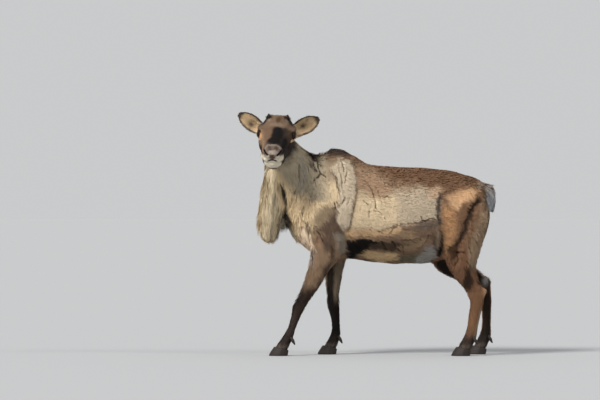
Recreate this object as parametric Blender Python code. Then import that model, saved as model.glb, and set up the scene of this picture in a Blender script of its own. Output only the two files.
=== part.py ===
"""A life-size reindeer cow in winter coat, standing side on with its head turned to its left.

Metres, +Z up. The animal faces -X, its left side is at -Y, and the soles of its hooves are at z = 0.
The flesh is modelled whole, out to the tips of the coat, and parted into named pieces by thin cuts.
"""
import math

import bmesh
import bpy
import numpy as np
from mathutils import Matrix, Vector

# Driving sizes of the whole animal
GAP = 0.0003
VOXEL = 0.0055
CROP_MARGIN = 0.02
LEFT = -1.0
RIGHT = 1.0

# Planes that part the body: a point, and the way towards the head, the neck, the mane or the tail
HEAD_POINT = Vector((-0.430, -0.170, 0.930))
HEAD_NORMAL = Vector((0.0, -1.0, 1.0))
SHOULDER_POINT = Vector((-0.280, 0.0, 0.775))
SHOULDER_NORMAL = Vector((-0.430, 0.0, 0.160))
MANE_POINT = Vector((-0.405, 0.0, 0.750))
MANE_NORMAL = Vector((-0.300, 0.0, -0.070))
TAIL_POINT = Vector((0.557, 0.0, 0.740))
TAIL_NORMAL = Vector((0.160, 0.0, 0.030))

# Where the legs are parted from the trunk, and how far the cutters for that reach past the body
FORELEG_TOP = 0.452
FORELEG_REAR = -0.100
HINDLEG_FRONT = 0.262
FLANK_POINT = Vector((0.300, 0.0, 0.452))
FLANK_SLOPE = math.radians(34.0)
BEYOND_BREAST = -0.700
BEYOND_RUMP = 0.800

# Smoothing where the tubes meet: little past HEAD_START, as height less y, and below SOFT_FROM
HEAD_START = 1.10
HEAD_SOFTNESS = 0.16
LEG_SOFTNESS = 0.12
SOFT_FROM = 0.30
SOFT_TO = 0.50
BLEND_ROUNDS = 24

# The trunk, from the breast to the rump: x, top line, under line, half width
TRUNK = (
    (-0.378, 0.760, 0.610, 0.070),
    (-0.335, 0.860, 0.541, 0.116),
    (-0.270, 0.935, 0.485, 0.150),
    (-0.200, 0.968, 0.462, 0.172),
    (-0.135, 0.976, 0.460, 0.184),
    (-0.068, 0.942, 0.455, 0.192),
    (0.002, 0.903, 0.443, 0.202),
    (0.110, 0.892, 0.431, 0.214),
    (0.200, 0.888, 0.434, 0.215),
    (0.290, 0.884, 0.433, 0.206),
    (0.380, 0.874, 0.464, 0.190),
    (0.460, 0.853, 0.540, 0.166),
    (0.522, 0.831, 0.590, 0.134),
    (0.562, 0.802, 0.648, 0.088),
)
TRUNK_EGG = 0.13

# The neck, from inside the shoulders to the back of the skull: x, y, z, half depth, half width
NECK = (
    (-0.130, 0.000, 0.720, 0.235, 0.150),
    (-0.215, 0.000, 0.750, 0.215, 0.146),
    (-0.290, -0.012, 0.795, 0.182, 0.128),
    (-0.352, -0.040, 0.855, 0.146, 0.112),
    (-0.394, -0.078, 0.922, 0.108, 0.100),
    (-0.424, -0.112, 0.985, 0.078, 0.088),
    (-0.432, -0.138, 1.030, 0.060, 0.076),
)

# The throat mane, from the throat to its tip: x, y, z, half depth, half width
MANE = (
    (-0.445, -0.115, 0.885, 0.042, 0.060),
    (-0.450, -0.100, 0.800, 0.054, 0.066),
    (-0.458, -0.086, 0.700, 0.062, 0.058),
    (-0.466, -0.074, 0.625, 0.063, 0.046),
    (-0.478, -0.068, 0.570, 0.050, 0.032),
    (-0.492, -0.066, 0.535, 0.015, 0.012),
)

# Each leg, from inside the trunk to the coronet: x, y from the middle, z, half depth, half width
LEGS = {
    "leg_fore_left": (LEFT, (
        (-0.165, 0.100, 0.800, 0.085, 0.045),
        (-0.185, 0.118, 0.680, 0.115, 0.060),
        (-0.195, 0.124, 0.580, 0.105, 0.063),
        (-0.205, 0.122, 0.490, 0.073, 0.056),
        (-0.237, 0.118, 0.410, 0.050, 0.045),
        (-0.262, 0.116, 0.351, 0.044, 0.039),
        (-0.302, 0.110, 0.279, 0.033, 0.031),
        (-0.327, 0.106, 0.234, 0.030, 0.030),
        (-0.347, 0.102, 0.171, 0.0215, 0.023),
        (-0.366, 0.100, 0.118, 0.0200, 0.022),
        (-0.378, 0.099, 0.088, 0.0250, 0.027),
        (-0.395, 0.099, 0.062, 0.0245, 0.030),
        (-0.408, 0.099, 0.034, 0.0300, 0.037),
        (-0.414, 0.099, 0.016, 0.0300, 0.037),
    )),
    "leg_fore_right": (RIGHT, (
        (-0.155, 0.100, 0.800, 0.085, 0.045),
        (-0.165, 0.118, 0.680, 0.110, 0.060),
        (-0.165, 0.124, 0.580, 0.100, 0.062),
        (-0.160, 0.122, 0.490, 0.068, 0.055),
        (-0.162, 0.118, 0.410, 0.050, 0.044),
        (-0.165, 0.116, 0.351, 0.042, 0.038),
        (-0.166, 0.110, 0.285, 0.032, 0.031),
        (-0.164, 0.106, 0.240, 0.031, 0.030),
        (-0.154, 0.102, 0.171, 0.0225, 0.023),
        (-0.151, 0.100, 0.118, 0.0215, 0.022),
        (-0.153, 0.099, 0.088, 0.0255, 0.027),
        (-0.166, 0.099, 0.062, 0.0245, 0.030),
        (-0.178, 0.099, 0.034, 0.0300, 0.037),
        (-0.184, 0.099, 0.016, 0.0300, 0.037),
    )),
    "leg_hind_left": (LEFT, (
        (0.400, 0.085, 0.770, 0.100, 0.055),
        (0.438, 0.100, 0.660, 0.136, 0.088),
        (0.436, 0.110, 0.560, 0.111, 0.084),
        (0.437, 0.116, 0.465, 0.085, 0.066),
        (0.450, 0.116, 0.400, 0.062, 0.049),
        (0.476, 0.114, 0.350, 0.046, 0.037),
        (0.504, 0.112, 0.302, 0.040, 0.032),
        (0.510, 0.111, 0.250, 0.033, 0.029),
        (0.498, 0.110, 0.190, 0.029, 0.026),
        (0.488, 0.109, 0.127, 0.027, 0.024),
        (0.480, 0.108, 0.090, 0.030, 0.028),
        (0.464, 0.108, 0.062, 0.028, 0.031),
        (0.450, 0.108, 0.034, 0.031, 0.037),
        (0.444, 0.108, 0.016, 0.031, 0.037),
    )),
    "leg_hind_right": (RIGHT, (
        (0.365, 0.085, 0.770, 0.100, 0.055),
        (0.385, 0.100, 0.660, 0.130, 0.088),
        (0.374, 0.110, 0.560, 0.126, 0.085),
        (0.376, 0.117, 0.475, 0.092, 0.066),
        (0.430, 0.116, 0.412, 0.062, 0.050),
        (0.498, 0.115, 0.372, 0.044, 0.038),
        (0.546, 0.113, 0.335, 0.036, 0.032),
        (0.563, 0.112, 0.272, 0.0275, 0.027),
        (0.565, 0.110, 0.190, 0.0235, 0.024),
        (0.564, 0.109, 0.127, 0.0235, 0.023),
        (0.560, 0.108, 0.090, 0.0290, 0.028),
        (0.546, 0.108, 0.062, 0.027, 0.031),
        (0.533, 0.108, 0.034, 0.030, 0.037),
        (0.527, 0.108, 0.016, 0.030, 0.037),
    )),
}
JOINT_STATION = {"fore": 7, "hind": 6}
FETLOCK_STATION = 9
CORONET_STATION = 12
HOCK_POINTS = {"leg_hind_left": (0.538, 0.306), "leg_hind_right": (0.566, 0.352)}
HOCK_POINT_RADII = (0.021, 0.017, 0.027)

# The head, in its own axes: along the face from the eyes, up from the eyes, and to its left
EYE_MIDDLE = Vector((-0.4315, -0.205, 1.046))
HEAD_YAW = math.radians(5.0)
HEAD_PITCH = math.radians(22.0)
HEAD_ROLL = math.radians(3.5)
SKULL = (
    (-0.118, -0.004, 0.038, 0.050),
    (-0.085, 0.000, 0.058, 0.074),
    (-0.040, -0.004, 0.062, 0.088),
    (-0.010, -0.005, 0.061, 0.095),
    (0.020, -0.006, 0.058, 0.087),
    (0.050, -0.006, 0.055, 0.078),
    (0.090, -0.006, 0.050, 0.064),
    (0.140, -0.008, 0.047, 0.055),
    (0.180, -0.010, 0.047, 0.054),
    (0.212, -0.012, 0.043, 0.050),
    (0.232, -0.014, 0.028, 0.036),
)
JAW = (
    (-0.060, -0.060, 0.045, 0.060),
    (-0.010, -0.070, 0.050, 0.074),
    (0.050, -0.070, 0.045, 0.068),
    (0.110, -0.069, 0.040, 0.057),
    (0.165, -0.075, 0.036, 0.052),
    (0.205, -0.077, 0.027, 0.040),
)
BROW = ((-0.006, 0.026, 0.073), (0.036, 0.017, 0.024))
CHEEK = ((0.010, -0.045, 0.061), (0.055, 0.040, 0.022))
MUZZLE_SIDE = ((0.183, -0.040, 0.024), (0.036, 0.030, 0.028))
EYE_RADIUS = 0.0165
EYE_SIDE = 0.0765
EYE_ALONG = 0.022
EAR_BASE = (-0.066, -0.024, 0.066)
EAR_DIRECTION = (-0.22, 0.46, 0.80)
EAR_LENGTH = 0.146
EAR_HALF_WIDTH = 0.0430
EAR_CUP = 0.022
EAR_WALL = 0.0075
EAR_BEND = 1.35
EAR_TIP = 0.26
PEDICLE = (-0.055, 0.046, 0.0445)
PEDICLE_HEIGHT = 0.018
PEDICLE_LEAN = 0.006
PEDICLE_RADIUS = 0.0105

# The tail, from the rump to its tip: x, z, half depth, half width
TAIL = (
    (0.530, 0.794, 0.022, 0.030),
    (0.566, 0.787, 0.031, 0.038),
    (0.576, 0.752, 0.030, 0.039),
    (0.584, 0.712, 0.023, 0.031),
    (0.586, 0.684, 0.010, 0.012),
)

# Hooves: two claws and two dewclaws on each foot
CLAW_LENGTH = 0.092
CLAW_WIDTH = 0.042
CLAW_SPREAD = 0.0225
CLAW_TOE_OUT = math.radians(9.0)
CLAW_FORWARD = 0.018
CLAW_BOW = 0.010
CLAW_TOE_TAPER = 0.16
CORONET_SLOPE = math.radians(14.0)
DEWCLAW_LENGTH = 0.036
DEWCLAW_BACK = 0.012
DEWCLAW_SIDE = 0.020

# Triangles that each piece of flesh is brought down to
BUDGET = {
    "head": 1330, "neck": 580, "mane": 320, "trunk": 2050, "tail": 120,
    "upper": 240, "lower": 160, "foot": 116,
}

COLOURS = {
    "head": (0.075, 0.045, 0.030), "neck": (0.42, 0.36, 0.28), "mane": (0.60, 0.50, 0.34),
    "trunk": (0.30, 0.21, 0.14), "tail": (0.55, 0.53, 0.50), "upper": (0.19, 0.12, 0.075),
    "lower": (0.08, 0.05, 0.035), "foot": (0.06, 0.04, 0.03), "ear": (0.30, 0.22, 0.15),
    "eye": (0.010, 0.007, 0.005), "horn": (0.035, 0.028, 0.024), "pedicle": (0.10, 0.07, 0.05),
}


def clear_scene():
    for item in list(bpy.data.objects):
        bpy.data.objects.remove(item, do_unlink=True)


def material(name, roughness=0.85):
    found = bpy.data.materials.get(name)
    if found:
        return found
    made = bpy.data.materials.new(name)
    made.use_nodes = True
    shader = made.node_tree.nodes["Principled BSDF"]
    shader.inputs["Base Color"].default_value = (*COLOURS[name], 1.0)
    shader.inputs["Roughness"].default_value = roughness
    shader.inputs["Metallic"].default_value = 0.0
    return made


def new_object(name, mesh):
    made = bpy.data.objects.new(name, mesh)
    bpy.context.scene.collection.objects.link(made)
    return made


def mesh_from(bm, name):
    bmesh.ops.triangulate(bm, faces=bm.faces[:])
    bmesh.ops.recalc_face_normals(bm, faces=bm.faces[:])
    mesh = bpy.data.meshes.new(name)
    bm.to_mesh(mesh)
    bm.free()
    return mesh


def evaluated_mesh(holder, name):
    """The mesh of an object with its modifiers applied; the object is removed."""
    bpy.context.view_layer.update()
    graph = bpy.context.evaluated_depsgraph_get()
    mesh = bpy.data.meshes.new_from_object(holder.evaluated_get(graph))
    mesh.name = name
    bpy.data.objects.remove(holder, do_unlink=True)
    return mesh


def finish_piece(name, mesh, finish, roughness=0.85):
    """One node: triangles shaded smooth except at sharp edges, with its own material."""
    mesh.materials.clear()
    mesh.materials.append(material(finish, roughness))
    mesh.shade_smooth()
    mesh.set_sharp_from_angle(angle=math.radians(50.0))
    return new_object(name, mesh)


def spline(rows, steps):
    """A smooth Catmull-Rom curve through rows of numbers, with steps spans between two rows."""
    rows = np.array(rows, dtype=float)
    padded = np.vstack([2 * rows[0] - rows[1], rows, 2 * rows[-1] - rows[-2]])
    out = []
    for i in range(1, len(padded) - 2):
        p0, p1, p2, p3 = padded[i - 1:i + 3]
        for step in range(steps):
            t = step / steps
            out.append(0.5 * (2 * p1 + (p2 - p0) * t + (2 * p0 - 5 * p1 + 4 * p2 - p3) * t ** 2
                              + (3 * p1 - p0 - 3 * p2 + p3) * t ** 3))
    out.append(padded[-2])
    return np.array(out)


def loft(bm, rows, side, steps=5, around=28, egg=0.0, upright=False):
    """Skins a tube over rows of x, y, z, half depth and half width, with side as its width axis.

    Its rings stand square to its line, or, when upright, square to X.
    """
    curve = spline(rows, steps)
    centres = curve[:, :3]
    tangents = np.gradient(centres, axis=0)
    rings = []
    up_before = Vector((0.0, 0.0, 1.0))
    for centre, tangent, (half_depth, half_width) in zip(centres, tangents, curve[:, 3:5]):
        along = Vector((1.0, 0.0, 0.0)) if upright else Vector(tangent).normalized()
        across = (Vector(side) - along * Vector(side).dot(along)).normalized()
        up = across.cross(along)
        if up.dot(up_before) < 0.0:
            up = -up
        up_before = up
        ring = []
        for k in range(around):
            angle = 2 * math.pi * k / around
            width = half_width * math.sin(angle) * (1.0 - egg * math.cos(angle))
            place = Vector(centre) + up * (half_depth * math.cos(angle)) + across * width
            ring.append(bm.verts.new(place))
        rings.append(ring)
    for first, second in zip(rings, rings[1:]):
        for k in range(around):
            bm.faces.new((first[k], first[(k + 1) % around], second[(k + 1) % around], second[k]))
    for ring, beyond in ((rings[0], rings[1]), (rings[-1], rings[-2])):
        centre = sum((v.co for v in ring), Vector()) / around
        inward = sum((v.co for v in beyond), Vector()) / around - centre
        reach = 0.4 * (ring[0].co - centre).length
        middle = bm.verts.new(centre - inward.normalized() * reach)
        for k in range(around):
            bm.faces.new((ring[k], ring[(k + 1) % around], middle))


def ball(bm, centre, radii, axes=None, segments=20):
    """An ellipsoid whose three radii lie along three axes."""
    axes = axes or (Vector((1, 0, 0)), Vector((0, 1, 0)), Vector((0, 0, 1)))
    turned = Matrix([[axes[c][r] * radii[c] for c in range(3)] for r in range(3)]).to_4x4()
    place = Matrix.Translation(Vector(centre)) @ turned
    bmesh.ops.create_uvsphere(bm, u_segments=segments, v_segments=segments // 2, radius=1.0, matrix=place)


def head_axes():
    """The face's forward, up and left directions, with its left side a little lower."""
    forward = Vector((-math.sin(HEAD_YAW) * math.cos(HEAD_PITCH),
                      -math.cos(HEAD_YAW) * math.cos(HEAD_PITCH), -math.sin(HEAD_PITCH)))
    level = Vector((math.cos(HEAD_YAW), -math.sin(HEAD_YAW), 0.0))
    left = Matrix.Rotation(-HEAD_ROLL, 3, forward) @ level
    return forward, forward.cross(left), left


def head_place(along, up, left):
    """A place in the head's axes, as a point of the model."""
    forward_axis, up_axis, left_axis = head_axes()
    return EYE_MIDDLE + forward_axis * along + up_axis * up + left_axis * left


def close_cut(bm):
    """Fills the flat openings that a cut leaves."""
    edges = [edge for edge in bm.edges if edge.is_boundary]
    if edges:
        bmesh.ops.triangle_fill(bm, use_beauty=True, use_dissolve=False, edges=edges)


def cut(bm, point, normal, offset):
    """Keeps what lies more than offset beyond the plane, on the side that normal points to."""
    normal = Vector(normal).normalized()
    everything = bm.verts[:] + bm.edges[:] + bm.faces[:]
    bmesh.ops.bisect_plane(bm, geom=everything, dist=1e-7, plane_co=Vector(point) + normal * offset,
                           plane_no=normal, clear_inner=True)
    close_cut(bm)


def flesh_mesh():
    """The whole body in one skin: tubes and ellipsoids fused, then smoothed where they meet."""
    bm = bmesh.new()
    loft(bm, [(x, 0.0, (top + low) / 2, (top - low) / 2, half) for x, top, low, half in TRUNK],
         (0, 1, 0), egg=TRUNK_EGG, around=40, upright=True)
    loft(bm, NECK, (0, 1, 0), around=36)
    loft(bm, MANE, (0, 1, 0))
    loft(bm, [(x, 0.0, z, depth, width) for x, z, depth, width in TAIL], (0, 1, 0))
    for name, (side, rows) in LEGS.items():
        loft(bm, [(x, side * y, z, depth, width) for x, y, z, depth, width in rows], (0, 1, 0))
        if name in HOCK_POINTS:
            x, z = HOCK_POINTS[name]
            ball(bm, (x, side * rows[JOINT_STATION["hind"]][1], z), HOCK_POINT_RADII)
    axes = head_axes()
    for rows in (SKULL, JAW):
        loft(bm, [(*head_place(along, up, 0.0), depth, width) for along, up, depth, width in rows], axes[2])
    for place, radii in (BROW, CHEEK, MUZZLE_SIDE):
        for side in (-1.0, 1.0):
            ball(bm, head_place(place[0], place[1], place[2] * side), radii, axes)
    raw = new_object("flesh_raw", mesh_from(bm, "flesh_raw"))
    fuse = raw.modifiers.new("fuse", "REMESH")
    fuse.mode = "VOXEL"
    fuse.voxel_size = VOXEL
    holder = new_object("flesh_soft", evaluated_mesh(raw, "flesh_soft"))
    soft = holder.vertex_groups.new(name="soft")
    for vertex in holder.data.vertices:
        soft.add([vertex.index], softness(vertex.co), "REPLACE")
    blend = holder.modifiers.new("blend", "SMOOTH")
    blend.factor = 0.5
    blend.iterations = BLEND_ROUNDS
    blend.vertex_group = "soft"
    even = holder.modifiers.new("even", "SMOOTH")
    even.factor = 0.5
    even.iterations = 2
    return evaluated_mesh(holder, "flesh")


def softness(place):
    """How much the skin is smoothed: fully on the trunk and neck, little on the head and legs."""
    if place.z - place.y > HEAD_START:
        return HEAD_SOFTNESS
    return min(1.0, max(LEG_SOFTNESS, (place.z - SOFT_FROM) / (SOFT_TO - SOFT_FROM)))


def flesh_piece(flesh, name, finish, budget, planes):
    """One piece of the flesh: a rough crop, thinned to its triangles, then cut to its planes."""
    bm = bmesh.new()
    bm.from_mesh(flesh)
    for point, normal in planes:
        cut(bm, point, normal, -CROP_MARGIN)
    count = sum(len(face.verts) - 2 for face in bm.faces)
    holder = new_object(name + "_rough", mesh_from(bm, name + "_rough"))
    thin = holder.modifiers.new("thin", "DECIMATE")
    thin.ratio = min(1.0, budget / count)
    rough = evaluated_mesh(holder, name + "_thin")
    bm = bmesh.new()
    bm.from_mesh(rough)
    for point, normal in planes:
        cut(bm, point, normal, GAP / 2)
    drop_crumbs(bm)
    return finish_piece(name, mesh_from(bm, name), finish)


def drop_crumbs(bm):
    """Leaves only the largest of the closed bodies in a mesh."""
    islands = []
    seen = set()
    for start in bm.verts:
        if start in seen:
            continue
        island = [start]
        seen.add(start)
        for vertex in island:
            for edge in vertex.link_edges:
                other = edge.other_vert(vertex)
                if other not in seen:
                    seen.add(other)
                    island.append(other)
        islands.append(island)
    islands.sort(key=len, reverse=True)
    for island in islands[1:]:
        bmesh.ops.delete(bm, geom=island, context="VERTS")


def hidden_cutter(name, mesh):
    cutter = new_object(name, mesh)
    cutter.hide_render = True
    cutter.display_type = "WIRE"
    return cutter


def wedge(name, x_near, x_far, top_near, top_far):
    """A cutter that is flat except for its sloping top, wide enough for the whole body."""
    bm = bmesh.new()
    corners = []
    for x, top in ((x_near, top_near), (x_far, top_far)):
        for y in (-0.5, 0.5):
            for z in (-0.1, top):
                corners.append(bm.verts.new((x, y, z)))
    bmesh.ops.convex_hull(bm, input=corners)
    return hidden_cutter(name, mesh_from(bm, name))


def apply_cut(piece, cutters):
    """Takes cutters out of a piece and leaves its mesh plain."""
    for cutter in cutters:
        hollow = piece.modifiers.new("cut", "BOOLEAN")
        hollow.operation = "DIFFERENCE"
        hollow.solver = "EXACT"
        hollow.object = cutter
    bpy.context.view_layer.update()
    graph = bpy.context.evaluated_depsgraph_get()
    mesh = bpy.data.meshes.new_from_object(piece.evaluated_get(graph))
    piece.modifiers.clear()
    bm = bmesh.new()
    bm.from_mesh(mesh)
    bmesh.ops.triangulate(bm, faces=bm.faces[:])
    bmesh.ops.dissolve_degenerate(bm, dist=1e-6, edges=bm.edges[:])
    drop_crumbs(bm)
    bm.to_mesh(mesh)
    bm.free()
    piece.data = mesh
    for cutter in cutters:
        bpy.data.objects.remove(cutter, do_unlink=True)


def grown_copy(piece, name):
    """A cutter a hair's breadth larger than a piece, so that its neighbour clears it."""
    cutter = hidden_cutter(name, piece.data.copy())
    grow = cutter.modifiers.new("grow", "DISPLACE")
    grow.strength = GAP
    grow.mid_level = 0.0
    return cutter


def flank_line(x):
    """Height of the cut between trunk and thigh at a place along the body."""
    return FLANK_POINT.z + (x - FLANK_POINT.x) * math.tan(FLANK_SLOPE)


def body_pieces(flesh):
    """Head, throat mane, neck, tail and trunk, each between its planes."""
    below_head = (HEAD_POINT, -HEAD_NORMAL)
    before_shoulder = (SHOULDER_POINT, SHOULDER_NORMAL)
    head = flesh_piece(flesh, "head", "head", BUDGET["head"], [(HEAD_POINT, HEAD_NORMAL)])
    flesh_piece(flesh, "throat_mane", "mane", BUDGET["mane"], [
        below_head, before_shoulder, (MANE_POINT, MANE_NORMAL)])
    flesh_piece(flesh, "neck", "neck", BUDGET["neck"], [
        below_head, before_shoulder, (MANE_POINT, -MANE_NORMAL)])
    flesh_piece(flesh, "tail", "tail", BUDGET["tail"], [(TAIL_POINT, TAIL_NORMAL)])
    trunk = flesh_piece(flesh, "trunk", "trunk", BUDGET["trunk"], [
        (SHOULDER_POINT, -SHOULDER_NORMAL), (TAIL_POINT, -TAIL_NORMAL)])
    top = FORELEG_TOP + GAP / 2
    fore = wedge("fore_cutter", BEYOND_BREAST, FORELEG_REAR + GAP / 2, top, top)
    front = HINDLEG_FRONT - GAP / 2
    hind = wedge("hind_cutter", front, BEYOND_RUMP, flank_line(front) + GAP, flank_line(BEYOND_RUMP) + GAP)
    apply_cut(trunk, [fore, hind])
    return head


def leg_pieces(flesh, name, side, rows):
    """Upper leg, cannon and foot of one leg, parted across its own line."""
    kind = "fore" if "fore" in name else "hind"
    places = [Vector((x, side * y, z)) for x, y, z, _, _ in rows]
    middle = (Vector((0.0, side * GAP / 2, 0.0)), Vector((0.0, side, 0.0)))
    if kind == "fore":
        top = [(Vector((0.0, 0.0, FORELEG_TOP)), Vector((0.0, 0.0, -1.0))),
               (Vector((FORELEG_REAR, 0.0, 0.0)), Vector((-1.0, 0.0, 0.0))), middle]
    else:
        slope = Vector((math.sin(FLANK_SLOPE), 0.0, -math.cos(FLANK_SLOPE)))
        top = [(FLANK_POINT, slope), (Vector((HINDLEG_FRONT, 0.0, 0.0)), Vector((1.0, 0.0, 0.0))), middle,
               (TAIL_POINT, -TAIL_NORMAL)]
    joint = JOINT_STATION[kind]
    joint_line = (places[joint - 1] - places[joint + 1]).normalized()
    fetlock_line = (places[FETLOCK_STATION - 1] - places[FETLOCK_STATION + 1]).normalized()
    coronet_line = Vector((math.sin(CORONET_SLOPE), 0.0, math.cos(CORONET_SLOPE)))
    flesh_piece(flesh, name + "_upper", "upper", BUDGET["upper"], top + [(places[joint], joint_line)])
    flesh_piece(flesh, name + "_cannon", "lower", BUDGET["lower"], top + [
        (places[joint], -joint_line), (places[FETLOCK_STATION], fetlock_line)])
    foot = flesh_piece(flesh, name + "_foot", "foot", BUDGET["foot"], top + [
        (places[FETLOCK_STATION], -fetlock_line), (places[CORONET_STATION], coronet_line)])
    coronet = places[CORONET_STATION]
    for number, outward in enumerate((-1.0, 1.0)):
        claw(name + ("_claw_near", "_claw_far")[number], coronet, outward)
        dewclaw(name + ("_dewclaw_near", "_dewclaw_far")[number], places[FETLOCK_STATION + 1], outward, foot)


def claw(name, coronet, outward):
    """One broad crescent claw with a flat sole, cut along the coronet."""
    rings = ((0.0, 0.96, 0.0), (0.004, 1.0, 0.0), (0.020, 0.93, 0.006), (0.060, 0.70, 0.024))
    around = 14
    bm = bmesh.new()
    turn = Matrix.Rotation(CLAW_TOE_OUT * outward, 4, "Z")
    middle = Vector((coronet.x - CLAW_FORWARD, coronet.y + outward * CLAW_SPREAD, 0.0))
    placed = Matrix.Translation(middle) @ turn
    loops = []
    for height, size, back in rings:
        loop = []
        for k in range(around):
            angle = 2 * math.pi * k / around
            x = -CLAW_LENGTH / 2 * math.cos(angle) * size + back
            bow = -outward * CLAW_BOW * math.cos(angle) ** 2 * size
            y = CLAW_WIDTH / 2 * math.sin(angle) * (0.92 - CLAW_TOE_TAPER * math.cos(angle)) * size + bow
            loop.append(bm.verts.new(placed @ Vector((x, y, height))))
        loops.append(loop)
    for low, high in zip(loops, loops[1:]):
        for k in range(around):
            bm.faces.new((low[k], low[(k + 1) % around], high[(k + 1) % around], high[k]))
    bm.faces.new(loops[0])
    bm.faces.new(loops[-1])
    bmesh.ops.recalc_face_normals(bm, faces=bm.faces[:])
    line = Vector((math.sin(CORONET_SLOPE), 0.0, math.cos(CORONET_SLOPE)))
    cut(bm, coronet, -line, GAP / 2)
    cut(bm, Vector((0.0, coronet.y, 0.0)), Vector((0.0, outward, 0.0)), GAP / 2)
    finish_piece(name, mesh_from(bm, name), "horn", roughness=0.45)


def dewclaw(name, fetlock, outward, foot):
    """A small horn behind the fetlock that points down and back."""
    start = fetlock + Vector((DEWCLAW_BACK, outward * DEWCLAW_SIDE, 0.0))
    tip = start + Vector((0.020, outward * 0.005, -DEWCLAW_LENGTH))
    bm = bmesh.new()
    rows = []
    for share, depth, width in ((0.0, 0.007, 0.009), (0.5, 0.0085, 0.0105), (1.0, 0.003, 0.005)):
        rows.append((*start.lerp(tip, share), depth, width))
    loft(bm, rows, (0, 1, 0), steps=1, around=7)
    piece = finish_piece(name, mesh_from(bm, name), "horn", roughness=0.45)
    apply_cut(piece, [grown_copy(foot, name + "_cutter")])


def ear_outline(u):
    """Half width of the ear at a share of its length: a broad leaf with a blunt tip."""
    if u < 0.5:
        return 0.62 + 0.38 * math.sin(math.pi * u)
    return max(EAR_TIP, (1.0 - (2 * u - 1) ** 2) ** 0.60)


def ear(name, side, head):
    """A cupped leaf of an ear: a back and an inner face, joined along the rim."""
    forward_axis, up_axis, left_axis = head_axes()
    base = head_place(EAR_BASE[0], EAR_BASE[1], EAR_BASE[2] * side)
    along = (forward_axis * EAR_DIRECTION[0] + up_axis * EAR_DIRECTION[1]
             + left_axis * EAR_DIRECTION[2] * side).normalized()
    opening = (forward_axis + left_axis * 0.25 * side - up_axis * 0.10)
    opening = (opening - along * opening.dot(along)).normalized()
    across = along.cross(opening)
    lengths, widths = 10, 7
    bm = bmesh.new()
    sheets = []
    for inner in (0.0, 1.0):
        grid = []
        for i in range(lengths):
            u = i / (lengths - 1)
            half = EAR_HALF_WIDTH * ear_outline(u)
            cup = EAR_CUP * (1.0 - u) ** 0.7 + 0.002
            row = []
            for j in range(widths):
                v = 2 * j / (widths - 1) - 1
                wall = EAR_WALL * (0.45 + 0.55 * (1.0 - v * v)) * (1.0 - 0.55 * u)
                place = base + along * (EAR_LENGTH * u)
                place = place + across * (half * math.sin(v * EAR_BEND) / math.sin(EAR_BEND))
                place = place - opening * (cup * math.cos(v * EAR_BEND)) + opening * (wall * (inner - 0.5))
                row.append(bm.verts.new(place))
            grid.append(row)
        sheets.append(grid)
    back, front = sheets
    for i in range(lengths - 1):
        for j in range(widths - 1):
            bm.faces.new((back[i][j], back[i + 1][j], back[i + 1][j + 1], back[i][j + 1]))
            bm.faces.new((front[i][j], front[i][j + 1], front[i + 1][j + 1], front[i + 1][j]))
    rim = [(i, 0) for i in range(lengths)] + [(lengths - 1, j) for j in range(1, widths)]
    rim += [(i, widths - 1) for i in range(lengths - 2, -1, -1)] + [(0, j) for j in range(widths - 2, 0, -1)]
    for (i, j), (m, n) in zip(rim, rim[1:] + rim[:1]):
        bm.faces.new((back[i][j], back[m][n], front[m][n], front[i][j]))
    piece = finish_piece(name, mesh_from(bm, name), "ear")
    apply_cut(piece, [grown_copy(head, name + "_cutter")])


def eye(name, side):
    bm = bmesh.new()
    bmesh.ops.create_uvsphere(bm, u_segments=12, v_segments=8, radius=EYE_RADIUS,
                              matrix=Matrix.Translation(head_place(EYE_ALONG, 0.0, EYE_SIDE * side)))
    return finish_piece(name, mesh_from(bm, name), "eye", roughness=0.08)


def pedicle(name, side, head):
    """A short domed stub on the crown, where an antler was cast."""
    low = head_place(PEDICLE[0], PEDICLE[1], PEDICLE[2] * side)
    high = head_place(PEDICLE[0] - PEDICLE_LEAN, PEDICLE[1] + PEDICLE_HEIGHT, PEDICLE[2] * side * 1.02)
    bm = bmesh.new()
    rows = []
    for share, size in ((0.0, 1.10), (0.50, 0.96), (0.80, 0.70), (1.0, 0.30)):
        rows.append((*low.lerp(high, share), PEDICLE_RADIUS * size, PEDICLE_RADIUS * size))
    loft(bm, rows, head_axes()[2], steps=1, around=7)
    piece = finish_piece(name, mesh_from(bm, name), "pedicle")
    apply_cut(piece, [grown_copy(head, name + "_cutter")])


def stand_on_origin():
    """Moves the model so that the middle of its box is over the origin and its soles are at z = 0."""
    bpy.context.view_layer.update()
    corners = np.array([tuple(item.matrix_world @ vertex.co) for item in bpy.data.objects
                        for vertex in item.data.vertices])
    low, high = corners.min(axis=0), corners.max(axis=0)
    shift = Matrix.Translation((-(low[0] + high[0]) / 2, -(low[1] + high[1]) / 2, -low[2]))
    for item in bpy.data.objects:
        item.data.transform(shift)


def build():
    clear_scene()
    flesh = flesh_mesh()
    head = body_pieces(flesh)
    for name, (side, rows) in LEGS.items():
        leg_pieces(flesh, name, side, rows)
    for word, side in (("left", 1.0), ("right", -1.0)):
        ear("ear_" + word, side, head)
        pedicle("pedicle_" + word, side, head)
        eye_piece = eye("eye_" + word, side)
        apply_cut(head, [grown_copy(eye_piece, "eye_cutter_" + word)])
    stand_on_origin()


build()
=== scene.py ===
"""Looks of a life-size reindeer cow in winter coat, antlers cast, head turned to look at the viewer.

One skin lies inside the flesh by the depth of the coat, and the coat grows from it in fine tufts.
Metres, +Z up. The animal faces -X and its left side is at -Y.
"""

import math

import bmesh
import bpy
import numpy as np
from mathutils import Matrix, Vector
from mathutils.bvhtree import BVHTree
from mathutils.kdtree import KDTree


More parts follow.
